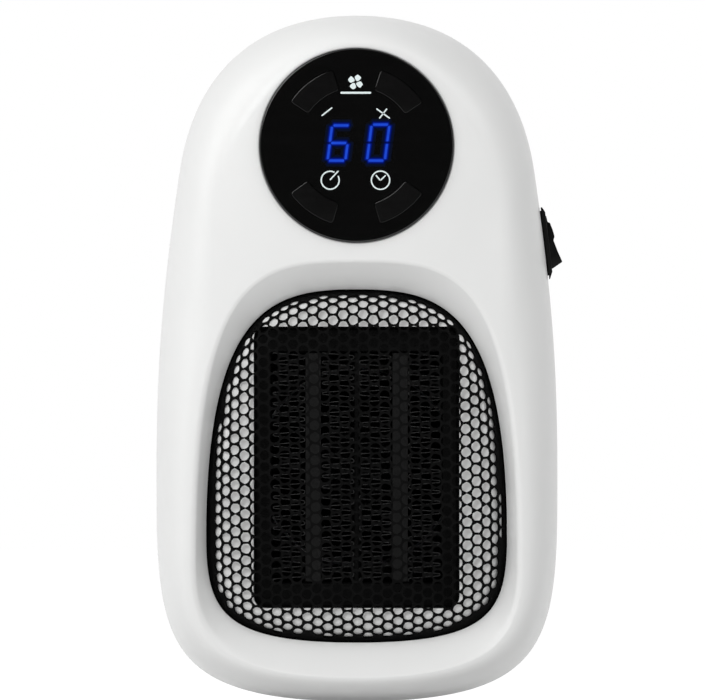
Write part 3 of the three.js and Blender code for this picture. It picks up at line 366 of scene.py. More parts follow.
shell_white = moulded_plastic(
    "shell_white", (0.768, 0.77, 0.764), (0.755, 0.758, 0.752), 0.38, depth=0.000006, coat=0.08)
inner_white = moulded_plastic(
    "inner_white", (0.95, 0.95, 0.94), (0.92, 0.92, 0.91), 0.5, 900.0, 0.00004)
grille_black = coated_steel("grille_black", 0.002, 0.004, 0.45, 0.03)
frame_black = moulded_plastic("frame_black", 0.002, 0.004, 0.55, 900.0, 0.00004, 0.05)
fin_black = worked_metal("fin_black", 0.07, 0.03, 0.42, (1.0, 0.1, 1.0))
bar_grey = moulded_plastic("bar_grey", 0.003, 0.005, 0.45, 700.0, 0.00004, 0.2)
face_black = gloss_panel("face_black", 0.003, 0.06)
key_black = gloss_panel("key_black", 0.004, 0.1)
ink_white = printed_ink("ink_white", (0.78, 0.88, 0.88))
window_dark = gloss_panel("window_dark", (0.002, 0.003, 0.012), 0.1)
switch_black = moulded_plastic("switch_black", 0.002, 0.004, 0.4, 1500.0, 0.00003, 0.12)
rocker_black = moulded_plastic("rocker_black", 0.002, 0.003, 0.3, 2400.0, 0.00001, 0.12)
inner_grey = moulded_plastic("inner_grey", 0.03, 0.04, 0.55, 900.0, 0.00004, 0.2)
dark_steel = worked_metal("dark_steel", 0.02, 0.035, 0.5, (1.0, 0.08, 1.0))
black_screw = worked_metal("black_screw", 0.02, 0.03, 0.5)
vane_black = moulded_plastic("vane_black", 0.003, 0.005, 0.5, 900.0, 0.00003, 0.1)
drawn_steel = worked_metal("drawn_steel", 0.45, 0.55, 0.35, (1.0, 0.08, 1.0))
zinc_screw = worked_metal("zinc_screw", 0.5, 0.62, 0.32)
nickel = worked_metal("nickel", (0.62, 0.6, 0.55), (0.7, 0.68, 0.62), 0.25, (1, 0.1, 1))
brass = worked_metal("brass", (0.62, 0.42, 0.15), (0.7, 0.5, 0.2), 0.3)
can_silver = worked_metal("can_silver", 0.6, 0.68, 0.3, (1.0, 0.08, 1.0))
board_green = circuit_board("board_green")
capacitor_blue = moulded_plastic(
    "capacitor_blue", (0.02, 0.06, 0.33), (0.03, 0.08, 0.38), 0.4)


# Drawing helpers
def mixed(first, second, share):
    return first + (second - first) * share


def eased_step(value, start, end):
    share = min(max((value - start) / (end - start), 0.0), 1.0)
    return share * share * (3 - 2 * share)


def eased(corners, cut, steps=6, closed=False):
    """A line of corners with its inner corners rounded, each by the same cut along the legs."""
    corners = [Vector(corner) for corner in corners]
    line = []
    for index, corner in enumerate(corners):
        if not closed and index in (0, len(corners) - 1):
            line.append(corner)
            continue
        before = corners[index - 1]
        after = corners[(index + 1) % len(corners)]
        back = (before - corner).normalized() * cut
        on = (after - corner).normalized() * cut
        line += interpolate_bezier(
            corner + back, corner + back * 0.45, corner + on * 0.45, corner + on, steps + 1)
    return line


def corners_in(grown):
    return [item for item in grown["geom"] if isinstance(item, bmesh.types.BMVert)]


def loop_edges(form, loop):
    return [form.edges.get(pair) for pair in zip(loop, loop[1:] + loop[:1])]


def loft(form, rings, closed=True):
    """Draws one loop of edges from ring to ring, then joins the last to the first or caps both."""
    count = len(rings[0])
    loop = bmesh.ops.create_circle(form, segments=count, radius=1.0)["verts"]
    loop = sorted(loop, key=lambda corner: atan2(corner.co.y, corner.co.x))
    for corner, place in zip(loop, rings[0]):
        corner.co = place
    first = loop
    for ring in rings[1:]:
        made = set(corners_in(bmesh.ops.extrude_edge_only(form, edges=loop_edges(form, loop))))
        loop = [
            next(edge.other_vert(corner) for edge in corner.link_edges
                 if edge.other_vert(corner) in made)
            for corner in loop
        ]
        for corner, place in zip(loop, ring):
            corner.co = place
    if closed:
        bmesh.ops.bridge_loops(form, edges=loop_edges(form, loop) + loop_edges(form, first))
        return
    for end in (first, loop):
        bmesh.ops.edgeloop_fill(form, edges=loop_edges(form, end))


def turned(form, profile, x=0.0, z=0.0, steps=96):
    """Spins a profile of (radius, y) about an axis along Y."""
    corners = [form.verts.new((x + radius, y, z)) for radius, y in profile]
    edges = [form.edges.new(pair) for pair in zip(corners, corners[1:])]
    bmesh.ops.spin(
        form, geom=corners + edges, cent=(x, 0, z), axis=(0, 1, 0), dvec=(0, 0, 0),
        angle=tau, steps=steps, use_merge=True, use_duplicate=False)
    bmesh.ops.remove_doubles(form, verts=form.verts, dist=WELD)


def drawn_out(form, faces, way=(0, 0, 0)):
    """Extrudes faces along a vector."""
    moved = corners_in(bmesh.ops.extrude_face_region(form, geom=faces))
    bmesh.ops.translate(form, verts=moved, vec=way)
    return moved


def prism(form, outline, back, front):
    """A plane outline of (x, z) drawn along Y from back to front."""
    face = form.faces.new([form.verts.new((point[0], front, point[1])) for point in outline])
    drawn_out(form, [face], (0, back - front, 0))


def box_form(size, centre=(0, 0, 0)):
    form = bmesh.new()
    bmesh.ops.create_cube(form, size=1.0)
    bmesh.ops.scale(form, vec=size, verts=form.verts)
    bmesh.ops.translate(form, vec=centre, verts=form.verts)
    return form


def rounded_outline(width, height, corner, steps=8):
    x, z = width / 2, height / 2
    return eased([(x, z), (-x, z), (-x, -z), (x, -z)], corner, steps, closed=True)


def linked(name, data):
    """A new object in the scene."""
    made = bpy.data.objects.new(name, data)
    bpy.context.scene.collection.objects.link(made)
    return made


def mesh_of(name, form):
    mesh = bpy.data.meshes.new(name)
    form.to_mesh(mesh)
    form.free()
    return mesh


def solid_of(form):
    bmesh.ops.recalc_face_normals(form, faces=form.faces)
    return linked("solid", mesh_of("solid", form))


def carved(form, cutter, operation="DIFFERENCE"):
    """The form with the cutter's shape taken out of it."""
    whole = solid_of(form)
    tool = solid_of(cutter)
    cut = whole.modifiers.new("cut", "BOOLEAN")
    cut.operation = operation
    cut.solver = "EXACT"
    cut.object = tool
    result = bmesh.new()
    result.from_object(whole, bpy.context.evaluated_depsgraph_get())
    for solid in (whole, tool):
        mesh = solid.data
        bpy.data.objects.remove(solid)
        bpy.data.meshes.remove(mesh)
    return result


def piece(name, form, paint, nodes=(), body="housing", sharp=32.0):
    """Makes an object of a form and lets it ride on a body in place of its nodes."""
    bmesh.ops.recalc_face_normals(form, faces=form.faces)
    form.transform(Matrix.Scale(MM, 4))
    mesh = mesh_of(name, form)
    mesh.materials.append(paint)
    mesh.shade_smooth()
    mesh.set_sharp_from_angle(angle=radians(sharp))
    made = linked(name, mesh)
    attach(made, body)
    if nodes:
        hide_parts(*nodes)


def bevelled(form, edges, width, segments):
    bmesh.ops.bevel(
        form, geom=edges, offset=width, offset_type="OFFSET", segments=segments, profile=0.5,
        affect="EDGES", material=-1)


# Outlines of the body, the outlet and the recess, reached from the fan's axis
def half_outline(width, bottom, height, shares):
    corners = [Vector((x * width / 2, bottom + z * height)) for x, z in shares]
    line = []
    for start in range(0, len(corners) - 1, 3):
        line += interpolate_bezier(*corners[start:start + 4], 240)
    return line[::-1]


def half_rectangle(width, height, corner):
    x, z = width / 2, height / 2
    spots = [(0, fan_z + z), (x, fan_z + z), (x, fan_z - z), (0, fan_z - z)]
    return eased(spots, corner, 12)


half_lines = {
    "body": half_outline(body_width, body_bottom, body_height, body_shares),
    "outlet": half_outline(outlet_width, outlet_bottom, outlet_height, outlet_shares),
    "recess": half_outline(recess_width, recess_bottom, recess_height, recess_shares),
    "sleeve": half_rectangle(sleeve_width, sleeve_height, sleeve_corner),
    "sleeve bore": half_rectangle(sleeve_width - 4.0, sleeve_height - 4.0, sleeve_corner - 2.0),
}
half_turns = {
    name: [atan2(max(point.x, 0.0), point.y - fan_z) for point in line]
    for name, line in half_lines.items()
}


def reach(name, angle):
    """How far an outline lies from the fan's axis in one direction."""
    line, turns = half_lines[name], half_turns[name]
    aim = abs(angle)
    index = min(bisect_left(turns, aim, 1), len(line) - 1)
    first = line[index - 1] - Vector((0, fan_z))
    along = line[index] - line[index - 1]
    across = sin(aim) * along.y - cos(aim) * along.x
    if turns[index] - turns[index - 1] < 0.000001 or abs(across) < 0.000001:
        return (line[index] - Vector((0, fan_z))).length
    return (first.x * along.y - first.y * along.x) / across


def even_angles(line, count):
    """Angles of places spread evenly along half an outline, then along its other half."""
    lengths = [0.0]
    for near, far in zip(line, line[1:]):
        lengths.append(lengths[-1] + (far - near).length)
    angles = []
    for step in range(count + 1):
        aim = lengths[-1] * step / count
        index = min(bisect_left(lengths, aim, 1), len(line) - 1)
        span = lengths[index] - lengths[index - 1]
        share = (aim - lengths[index - 1]) / span if span > 0 else 0.0
        spot = line[index - 1].lerp(line[index], share)
        angles.append(atan2(spot.x, spot.y - fan_z))
    angles[0] = 0.0
    angles[-1] = pi
    return angles + [-angle for angle in angles[-2:0:-1]]


def panel_reach(angle):
    height = panel_z - fan_z
    radius = panel_radius + 1.4
    across = height * sin(angle)
    if abs(angle) > pi / 2 or abs(across) > radius:
        return 0.0
    return height * cos(angle) + sqrt(radius * radius - across * across)


def chin_share(angle):
    """0 on the flanks and 1 at the chin."""
    return eased_step(-cos(angle), 0.55, 0.98)


def crest_land_at(angle):
    return mixed(crest_land, crest_land_chin, chin_share(angle))


def about_fan(radius, angle):
    return radius * sin(angle), fan_z + radius * cos(angle)


angles = even_angles(half_lines["body"], ray_count // 2)
body_reach = [reach("body", angle) for angle in angles]
outlet_reach = [reach("outlet", angle) for angle in angles]
recess_reach = [reach("recess", angle) for angle in angles]
rounding = [
    min(front_rounding, body - recess - crest_land_at(angle), body - panel_reach(angle))
    for angle, body, recess in zip(angles, body_reach, recess_reach)
]
shifts = range(-ray_smoothing, ray_smoothing + 1)
for _ in range(3):
    rounding = [
        sum(rounding[(index + shift) % ray_count] for shift in shifts) / len(shifts)
        for index in range(ray_count)
    ]


def on_ray(index, radius, y):
    x, z = about_fan(radius, angles[index])
    return Vector((x, y, z))


def face_y(index, radius):
    """The front falls back towards the sides, and stays level round the panel."""
    spot = on_ray(index, radius, 0.0)
    from_panel = hypot(spot.x, spot.z - panel_z)
    level = 1 - eased_step(from_panel, panel_radius + 1.0, panel_radius + 18.0)
    return front_y + crown_depth * (spot.x / (body_width / 2)) ** 2 * (1 - level)


def rings_of(profile):
    """Draws a profile of (radius, y) on every ray and joins its corners into rings."""
    cuts = [profile(index) for index in range(ray_count)]
    return [
        [on_ray(index, *corner) for index, corner in enumerate(corners)] for corners in zip(*cuts)
    ]


def quarter(steps):
    """Even angles from nothing to a right angle."""
    return [pi / 2 * step / steps for step in range(steps + 1)]


# Front cover
def front_profile(index):
    """A cut through the front cover along one ray, from the outlet out and back inside."""
    angle = angles[index]
    top = eased_step(cos(angle), 0.35, 0.9)
    body, outlet, recess = body_reach[index], outlet_reach[index], recess_reach[index]
    flat = body - rounding[index]
    crest = recess - 0.1
    corner = Vector((crest, face_y(index, recess)))
    ease = mixed(mixed(crest_ease_side, crest_ease_top, top), crest_ease_chin, chin_share(angle))
    inward = (Vector((outlet, lip_front_y)) - corner).normalized()
    start = corner + inward * ease
    foot = Vector((outlet + 0.25, lip_front_y - 0.1))
    profile = [(outlet, lip_back_y), (outlet, lip_front_y + 0.25)]
    profile += [foot.lerp(start, step / 6) for step in range(6)]
    outward = min(ease, flat - crest - 0.2)
    end = Vector((crest + outward, face_y(index, crest + outward)))
    profile += interpolate_bezier(
        start, start.lerp(corner, 0.55), end.lerp(corner, 0.55), end, 9)
    for step in range(1, 9):
        radius = mixed(end.x, flat, step / 9)
        profile.append((radius, face_y(index, radius)))
    for turn in quarter(18):
        radius = flat + rounding[index] * sin(turn)
        profile.append((radius, mixed(front_side_y, face_y(index, flat), cos(turn))))
    rim = parting_y - parting_gap / 2
    inside = body - wall
    profile += [(body, mixed(front_side_y, rim - parting_edge, share)) for share in (0.35, 0.7)]
    profile += [
        (body, rim - parting_edge), (body - parting_edge, rim), (inside + tongue, rim),
        (inside + tongue, rim + tongue_reach), (inside, rim + tongue_reach), (inside, front_side_y),
    ]
    for turn in quarter(5)[4::-1]:
        radius = flat + (rounding[index] - wall) * sin(turn)
        y = mixed(front_side_y, face_y(index, flat) + wall, cos(turn))
        profile.append((min(radius, inside), y))
    return profile + [(mixed(outlet, recess, 0.85), lip_back_y)]


form = bmesh.new()
loft(form, rings_of(front_profile))
tool = bmesh.new()
lip = seat_radius + seat_lip
turned(tool, [
    (0.0, lip_back_y), (seat_radius, lip_back_y),
    *[(lip - seat_lip * cos(turn), front_y + seat_lip - seat_lip * sin(turn))
      for turn in quarter(8)],
    (lip + 4.0, front_y - 0.02), (lip + 4.0, front_y - 6.0), (0.0, front_y - 6.0),
], z=panel_z, steps=128)
form = carved(form, tool)
tool = box_form((8.8, 13.4, 20.4))
tool.transform(switch_place)
form = carved(form, tool)
piece("front_shell", form, shell_white, ["front_cover"])


# Rear cover, with the air slots, the plug's bore and the screw wells
def rear_profile(index):
    """A cut through the rear cover along one ray, from the inside over the rim to the back."""
    body = body_reach[index]
    shoulder = body - rear_rounding
    rim = parting_y + parting_gap / 2
    groove = body - wall + tongue + tongue_play
    inner, outer = (
        [(shoulder + (rear_rounding - inset) * cos(turn),
          mixed(rear_side_y, back_y - inset, sin(turn))) for turn in turns]
        for inset, turns in ((wall, quarter(8)[::-1]), (0.0, quarter(16)))
    )
    return [
        (body * 0.3, back_y - wall), *inner, (body - wall, rim + tongue_reach),
        (groove, rim + tongue_reach), (groove, rim), (body - parting_edge, rim),
        (body, rim + parting_edge), *outer, (shoulder - 2.0, back_y), (body * 0.3, back_y),
    ]


def rounded_back_y(x, z):
    """Where the back lies over a place, which falls away towards the sides."""
    inside = reach("body", atan2(x, z - fan_z)) - hypot(x, z - fan_z)
    left = min(max(1 - inside / rear_rounding, 0.0), 1.0)
    return mixed(rear_side_y, back_y, sqrt(1 - left * left))


def cover_spots():
    spots = []
    for degrees in (24, 112):
        angle = radians(degrees)
        x, z = about_fan(reach("body", angle) - cover_screw_inset, angle)
        spots += [(x, z), (-x, z)]
    return spots


form = bmesh.new()
loft(form, rings_of(rear_profile), closed=False)
tool = bmesh.new()
for row in range(inlet_rows):
    rise = (row - inlet_rows // 2) * inlet_row_step
    chord = sqrt(inlet_radius ** 2 - rise ** 2) - inlet_rib / 2
    for side in (1, -1):
        middle = side * (inlet_rib / 2 + chord / 2)
        outline = rounded_outline(chord, inlet_slot_height, 1.79, 6)
        spots = [(point.x + middle, point.y + fan_z + rise) for point in outline]
        prism(tool, spots, 0.0, -12.0)
bore = turret_radius + turret_play
turned(tool, [
    (0, 0), (bore + 0.5, 0), (bore + 0.5, back_y - 0.5), (bore, back_y - 1.0),
    (bore, turret_inner_y), (0, turret_inner_y),
])
form = carved(form, tool)
wells = bmesh.new()
for x, z in cover_spots():
    turned(wells, [
        (0, 0), (well_radius + 0.5, 0), (well_radius + 0.5, back_y - 0.3),
        (well_radius, back_y - 0.8), (well_radius, well_floor_y + 0.05), (0, well_floor_y + 0.05),
    ], x, z, 40)
form = carved(form, wells)
for x, z in cover_spots():
    rings = []
    for radius, y in (
        (well_radius + 0.1, None), (well_tube_radius, None), (well_tube_radius, well_end_y),
        (screw_hole_radius, well_end_y), (screw_hole_radius, well_floor_y),
        (well_radius + 0.1, well_floor_y),
    ):
        ring = []
        for step in range(40):
            turn = tau * step / 40
            spot = Vector((x + radius * cos(turn), 0.0, z + radius * sin(turn)))
            spot.y = rounded_back_y(spot.x, spot.z) - 1.2 if y is None else y
            ring.append(spot)
        rings.append(ring)
    loft(form, rings)
piece("rear_shell", form, shell_white, ["rear_cover"])


# Grille: a honeycomb of holes in a flat sheet, then pressed into its dome
def outline_loop(name, inset, count=900):
    """Places and inward directions along a whole outline, set in by a small distance."""
    turns = even_angles(half_lines[name], count // 2)
    spots = [Vector(about_fan(reach(name, turn), turn)) for turn in turns]
    loop = []
    for index, spot in enumerate(spots):
        along = spots[(index + 1) % len(spots)] - spots[index - 1]
        way = Vector((along.y, -along.x)).normalized()
        loop.append((spot + way * inset, way))
    return loop


def tree_of(spots):
    tree = KDTree(len(spots))
    for index, spot in enumerate(spots):
        tree.insert(spot, index)
    tree.balance()
    return tree


foot_loop = outline_loop("outlet", grille_play)
foot_tree = tree_of([spot.to_3d() for spot, _ in foot_loop])


def depth_inside(x, z):
    """How far a place lies inside the foot outline, with the outline's place and direction."""
    index = foot_tree.find((x, z, 0.0))[1]
    spot, way = foot_loop[index]
    return (Vector((x, z)) - spot).dot(way), spot, way


def edge_rise_at(edge, way_in):
    width, bend_rise, slope_width = edge
    left = min(max(1 - way_in / width, 0.0), 1.0)
    slope_left = min(max(1 - way_in / slope_width, 0.0), 1.0)
    rise = bend_rise * sqrt(1 - left * left)
    return rise + (dome_rise - bend_rise) * (1 - slope_left * slope_left)


@functools.cache
def bend_table(edge):
    """Lengths along the pressed edge, with the way in and the rise at each.

    The edge turns up in a quarter of an ellipse, and a gentle slope goes on further in.
    """
    width, slope_width = edge[0], edge[2]
    ways = [width * (1 - cos(turn)) for turn in quarter(60)]
    ways += [mixed(width, slope_width + 0.01, step / 30) for step in range(1, 31)]
    table = [(0.0, 0.0, 0.0)]
    for way_in in ways[1:]:
        rise = edge_rise_at(edge, way_in)
        length = table[-1][0] + hypot(way_in - table[-1][1], rise - table[-1][2])
        table.append((length, way_in, rise))
    return table


def edge_shares_at(z):
    high = eased_step(z - fan_z, 10.0, 40.0)
    low = eased_step(fan_z - z, 15.0, 45.0)
    return ((edge_top, high), (edge_side, 1 - high - low), (edge_chin, low))


def dome_y(x, z):
    """Where the dome's front lies over a place of the finished outlet."""
    inside = depth_inside(x, z)[0]
    rises = [share * edge_rise_at(edge, inside) for edge, share in edge_shares_at(z)]
    return rim_front_y - sum(rises)


def pressed_spot(inside, z):
    """Way in, rise and slope of a place that lies this far inside on the flat sheet."""
    way_in, rise, along_way, along_rise = 0.0, 0.0, 0.0, 0.0
    for edge, share in edge_shares_at(z):
        if share <= 0:
            continue
        table = bend_table(edge)
        along = inside + table[-1][0] - table[-1][1]
        if along >= table[-1][0]:
            here, slope = Vector((inside, dome_rise)), Vector((1, 0))
        else:
            along = max(along, 0.0)
            index = bisect_left(table, (along,), 1)
            near, far = Vector(table[index - 1]), Vector(table[index])
            here = near.lerp(far, (along - near.x) / (far.x - near.x)).yz
            slope = (far - near).yz.normalized()
        way_in += share * here.x
        rise += share * here.y
        along_way += share * slope.x
        along_rise += share * slope.y
    return way_in, rise, Vector((along_way, along_rise)).normalized()


def pressed(x, z, behind=0.0):
    """Where a place of the flat sheet goes when the dome is pressed, front or back."""
    inside, spot, way = depth_inside(x, z)
    way_in, rise, slope = pressed_spot(inside, z)
    flat = spot + way * (way_in + slope.y * behind)
    return Vector((flat.x, rim_front_y - rise + slope.x * behind, flat.y))


form = bmesh.new()
corner = hole_pitch / sqrt(3)
column = hole_pitch * sqrt(3) / 2
turn = Matrix.Rotation(-pattern_turn, 4, "Y")
holes = []
for i in range(-18, 19):
    for j in range(-20, 21):
        spot = turn @ Vector((i * column, 0, (j + (i % 2) / 2) * hole_pitch))
        spot += Vector((pattern_x, 0, pattern_z))
        inside = depth_inside(spot.x, spot.z)[0]
        if inside < -9.5:
            continue
        place = Matrix.Translation(spot) @ turn @ Matrix.Rotation(pi / 2, 4, "X")
        bmesh.ops.create_circle(
            form, cap_ends=True, segments=6, radius=corner,
            matrix=place @ Matrix.Rotation(pi / 6, 4, "Z"))
        if pressed_spot(inside - hole_radius, spot.z)[0] > edge_border:
            holes.append(spot)
bmesh.ops.remove_doubles(form, verts=form.verts, dist=0.02)
bmesh.ops.subdivide_edges(form, edges=form.edges, cuts=1)
tree = tree_of(holes)
cells = [face for face in form.faces if tree.find(face.calc_center_median())[2] < 0.1]
centres = [face.calc_center_median() for face in cells]
bmesh.ops.inset_individual(form, faces=cells, thickness=0.3)
for face, centre in zip(cells, centres):
    for vert in face.verts:
        vert.co = centre + (vert.co - centre).normalized() * hole_radius
bmesh.ops.delete(form, geom=cells, context="FACES_ONLY")
outside = [
    face for face in form.faces
    if all(pressed_spot(depth_inside(vert.co.x, vert.co.z)[0], vert.co.z)[1] < 0.001
           for vert in face.verts)
]
bmesh.ops.delete(form, geom=outside, context="FACES")
behind = set(drawn_out(form, list(form.faces)))
for vert in form.verts:
    vert.co = pressed(vert.co.x, vert.co.z, sheet if vert in behind else 0.0)
piece("perforated_dome", form, grille_black, sharp=40.0)

form = bmesh.new()
flange_rings = [
    (-0.25, rim_front_y - 1.0), (0.35, rim_front_y - 0.4), (0.9, rim_front_y),
    (grille_rim, rim_front_y), (grille_rim, rim_front_y + 0.8),
    (-rolled_edge, rim_front_y + 0.8), (-rolled_edge, rim_front_y - 1.4),
    (-0.9, rim_front_y - 1.4),
]
loft(form, [
    [Vector((spot.x - way.x * out, y, spot.y - way.y * out)) for spot, way in foot_loop[::3]]
    for out, y in flange_rings
])
piece("grille_rim", form, grille_black, ["outlet_grille"])


# Baffle behind the grille, dished towards it, and the heater that it carries
def baffle_profile(index):
    """A cut through the baffle along one ray; its front follows a little behind the dome."""
    angle = angles[index]
    edge = outlet_reach[index]
    bore, sleeve = reach("sleeve bore", angle), reach("sleeve", angle)
    profile = [(edge + 3.0, baffle_back_y), (edge + 3.0, baffle_edge_y)]
    for share in (0.06, 0.14, 0.22, 0.32, 0.44, 0.58, 0.75, 0.9, 1.0):
        radius = mixed(edge, bore - bore_lip, share)
        spot = on_ray(index, radius, 0.0)
        gap = mixed(baffle_edge_gap, baffle_gap, eased_step(share, 0.05, 0.35))
        y = max(dome_y(spot.x, spot.z) + gap, baffle_front_y)
        profile.append((radius, min(y, baffle_edge_y)))
    return profile + [
        (bore - bore_lip, frame_front_y - 0.6), (bore, frame_front_y - 0.3),
        (bore, sleeve_end_y), (sleeve, sleeve_end_y), (sleeve, baffle_back_y),
    ]


form = bmesh.new()
loft(form, rings_of(baffle_profile))
piece("air_baffle", form, inner_white, ["outlet_baffle"])

form = bmesh.new()
outer = rounded_outline(frame_width, frame_height, 3.2, 10)
inner = rounded_outline(frame_window, stack_height + 0.6, 1.0, 10)
bevel_y = frame_front_y + frame_bevel
rings = []
for line, inset, y in (
    (inner, 0.0, frame_back_y), (inner, 0.0, bevel_y), (inner, -0.5, frame_front_y),
    (outer, frame_bevel, frame_front_y), (outer, 0.0, bevel_y), (outer, 0.0, frame_back_y),
):
    rings.append([
        Vector((point.x * (1 - inset / 31.0), y, point.y * (1 - inset / 42.0) + fan_z))
        for point in line
    ])
loft(form, rings)
piece("heater_surround", form, frame_black, ["heater_frame"])


def folded_strip(x):
    """One strip folded to and fro between its bars, with round folds."""
    form = bmesh.new()
    folds = round(stack_height / fin_fold_pitch)
    rise = stack_height / folds
    corners = []
    for step in range(folds + 1):
        z = fan_z - stack_height / 2 + step * rise
        side = (fin_width / 2 - fin_sheet) * (1 if step % 2 else -1)
        corners.append((x + side, z))
        if step < folds:
            corners.append((x + side, z + rise * 0.5))
    line = eased(corners, rise * 0.24, 2)
    verts = [form.verts.new((point.x, fin_front_y, point.y)) for point in line]
    edges = [form.edges.new(pair) for pair in zip(verts, verts[1:])]
    moved = corners_in(bmesh.ops.extrude_edge_only(form, edges=edges))
    bmesh.ops.translate(form, verts=moved, vec=(0, fin_back_y - fin_front_y, 0))
    bmesh.ops.recalc_face_normals(form, faces=form.faces)
    bmesh.ops.solidify(form, geom=list(form.faces), thickness=fin_sheet)
    return form


for number, x in enumerate(fin_middles, start=1):
    piece(f"folded_fins_{number}", folded_strip(x), fin_black, [f"fin_pack_{number}"])


# Impeller: broad blades that overlap, seen from the front, round a cupped hub
form = bmesh.new()
turned(form, [
    (0, -25.3), (9.0, -25.3), (11.2, -24.8), (hub_radius, -23.6), (hub_radius, -13.9),
    (10.6, -13.9), (10.6, -23.0), (hub_bore, -23.6), (hub_bore, -14.5), (0, -14.5),
], z=fan_z, steps=64)
there = [(index / 8, 1) for index in range(9)]
and_back = [(share, -1) for share, _ in reversed(there)]
for number in range(blade_count):
    turn_on = Matrix.Rotation(tau * number / blade_count, 4, "Y")
    tilt = Matrix.Translation((0, 0, fan_z)) @ turn_on
    rings = []
    for step in range(7):
        radius = mixed(blade_root, blade_tip, step / 6)
        sweep = radians(28.0 + 2.0 * step / 6)
        ring = []
        for share, side in there + and_back:
            turn = mixed(-sweep, sweep, share) + 0.16 * (step / 6) ** 2
            y = mixed(blade_front_y, blade_back_y, share) + 1.3 * sin(pi * share)
            y += side * 0.45
            ring.append(tilt @ Vector((radius * sin(turn), y, radius * cos(turn))))
        rings.append(ring)
    loft(form, rings, closed=False)
piece("bladed_rotor", form, vane_black, ["impeller"], "fan_rotor")


# Control panel
def key_outline(name, grown=0.0, wider=0.0, corner=key_corner, steps=14):
    """A ring segment with rounded corners, about the panel's centre."""
    middle, span, inner, outer = keys[name]
    start = radians(middle - (span + wider) / 2)
    end = radians(middle + (span + wider) / 2)
    points = []
    for radius, first, last, way in (
        (outer + grown, start, end, -1), (inner - grown, end, start, 1),
    ):
        trim = corner / radius * -way
        near = radius + way * corner * 0.3
        points += [(radius + way * corner, first), (near, first + trim * 0.3)]
        for step in range(steps + 1):
            points.append((radius, mixed(first + trim, last - trim, step / steps)))
        points += [(near, last - trim * 0.3), (radius + way * corner, last)]
    return [(radius * cos(turn), radius * sin(turn) + panel_z) for radius, turn in points]


form = bmesh.new()
turned(form, [
    (0.0, panel_front_y), (10.0, panel_front_y), (28.2, panel_front_y),
    *[(panel_radius - panel_bevel * (1 - step / 10), panel_front_y + panel_fall * (step / 10) ** 2)
      for step in range(11)],
    (panel_radius, -77.1), (panel_radius + 1.8, -77.1), (panel_radius + 1.8, -75.6),
    (29.2, -75.6), (29.2, -70.2), (27.2, -70.2), (27.25, panel_back_y), (0.0, panel_back_y),
], z=panel_z, steps=160)
tool = bmesh.new()
for name in keys:
    hole = key_outline(name, key_play, 2 * key_play / key_middle / radians(1.0), 0.9)
    prism(tool, hole, panel_back_y + 1.0, panel_front_y - 1.0)
form = carved(form, tool)
piece("panel_face", form, face_black, ["control_panel"], sharp=28.0)

for name in keys:
    form = bmesh.new()
    prism(form, key_outline(name), key_back_y, key_front_y)
    rim = [edge for edge in form.edges if all(abs(v.co.y - key_front_y) < 0.01 for v in edge.verts)]
    bevelled(form, rim, 0.12, 3)
    prism(form, key_outline(name, key_lip_reach, 5.0), key_back_y + 0.5, key_back_y - 0.5)
    piece(f"{name}_pad", form, key_black, [f"{name}_key"], name, sharp=10.0)


# Marks on the panel: small solids just proud of its face
mark_front_y = panel_front_y - 0.03
mark_back_y = panel_front_y + 0.05


def turned_outline(outline, x, z, degrees):
    """A flat outline turned, then moved."""
    turn = Matrix.Rotation(radians(degrees), 2)
    spots = [turn @ Vector(point) for point in outline]
    return [(spot.x + x, spot.y + z) for spot in spots]


def bar(form, x, z, length, width, degrees=0.0):
    """A straight stroke with rounded ends."""
    outline = rounded_outline(length, width, width * 0.45, 3)
    prism(form, turned_outline(outline, x, z + panel_z, degrees), mark_back_y, mark_front_y)


def arc(form, x, z, radius, width, start, span, steps=48):
    """A round stroke, spun from its square end."""
    spot = Vector((x, 0, z + panel_z))
    turn = Matrix.Rotation(-radians(start), 3, "Y")
    corners = []
    for out, y in ((-1, mark_back_y), (1, mark_back_y), (1, mark_front_y), (-1, mark_front_y)):
        corners.append(form.verts.new(spot + turn @ Vector((radius + out * width / 2, y, 0))))
    bmesh.ops.spin(
        form, geom=[form.faces.new(corners)], cent=spot, axis=(0, 1, 0), dvec=(0, 0, 0),
        angle=-radians(span), steps=steps, use_merge=span >= 360, use_duplicate=False)


def blade(form, degrees):
    """One leaf of the fan mark."""
    leaf = [(0.2, 0.25), (0.75, 0.75), (1.15, 2.0), (-0.35, 2.4), (-0.95, 1.3)]
    outline = eased(leaf, 0.38, 5, closed=True)
    prism(form, turned_outline(outline, -0.3, 19.2 + panel_z, degrees), mark_back_y, mark_front_y)


stroke = 0.4
form = bmesh.new()
bar(form, -8.95, 10.2, 4.1, stroke, 38.0)
bar(form, 8.1, 9.65, 5.1, stroke, -36.0)
bar(form, 8.1, 9.65, 3.8, stroke, 52.0)
bar(form, -0.2, 15.95, 9.3, 0.62)
for number in range(4):
    blade(form, 90.0 * number - 25.0)
arc(form, -7.95, -10.55, 2.72, stroke, 62.0, 327.0)
bar(form, -6.75, -9.1, 3.8, stroke, 47.0)
arc(form, 7.3, -10.55, 2.77, stroke, 0, 360)
bar(form, 6.6, -9.85, 2.2, stroke, -49.0)
bar(form, 8.05, -9.85, 2.3, stroke, 44.0)
piece("panel_marks", form, ink_white, sharp=30.0)


# Two blue figures of seven slanted segments each, with a dim glow round them
digit_height = 11.1
digit_width = 5.4
digit_slant = 0.13
segment_width = 1.02
segment_break = 0.45
layer_step = 0.03
six = ("top", "middle", "bottom", "upper left", "lower left", "lower right")
zero = ("top", "bottom", "upper left", "lower left", "upper right", "lower right")


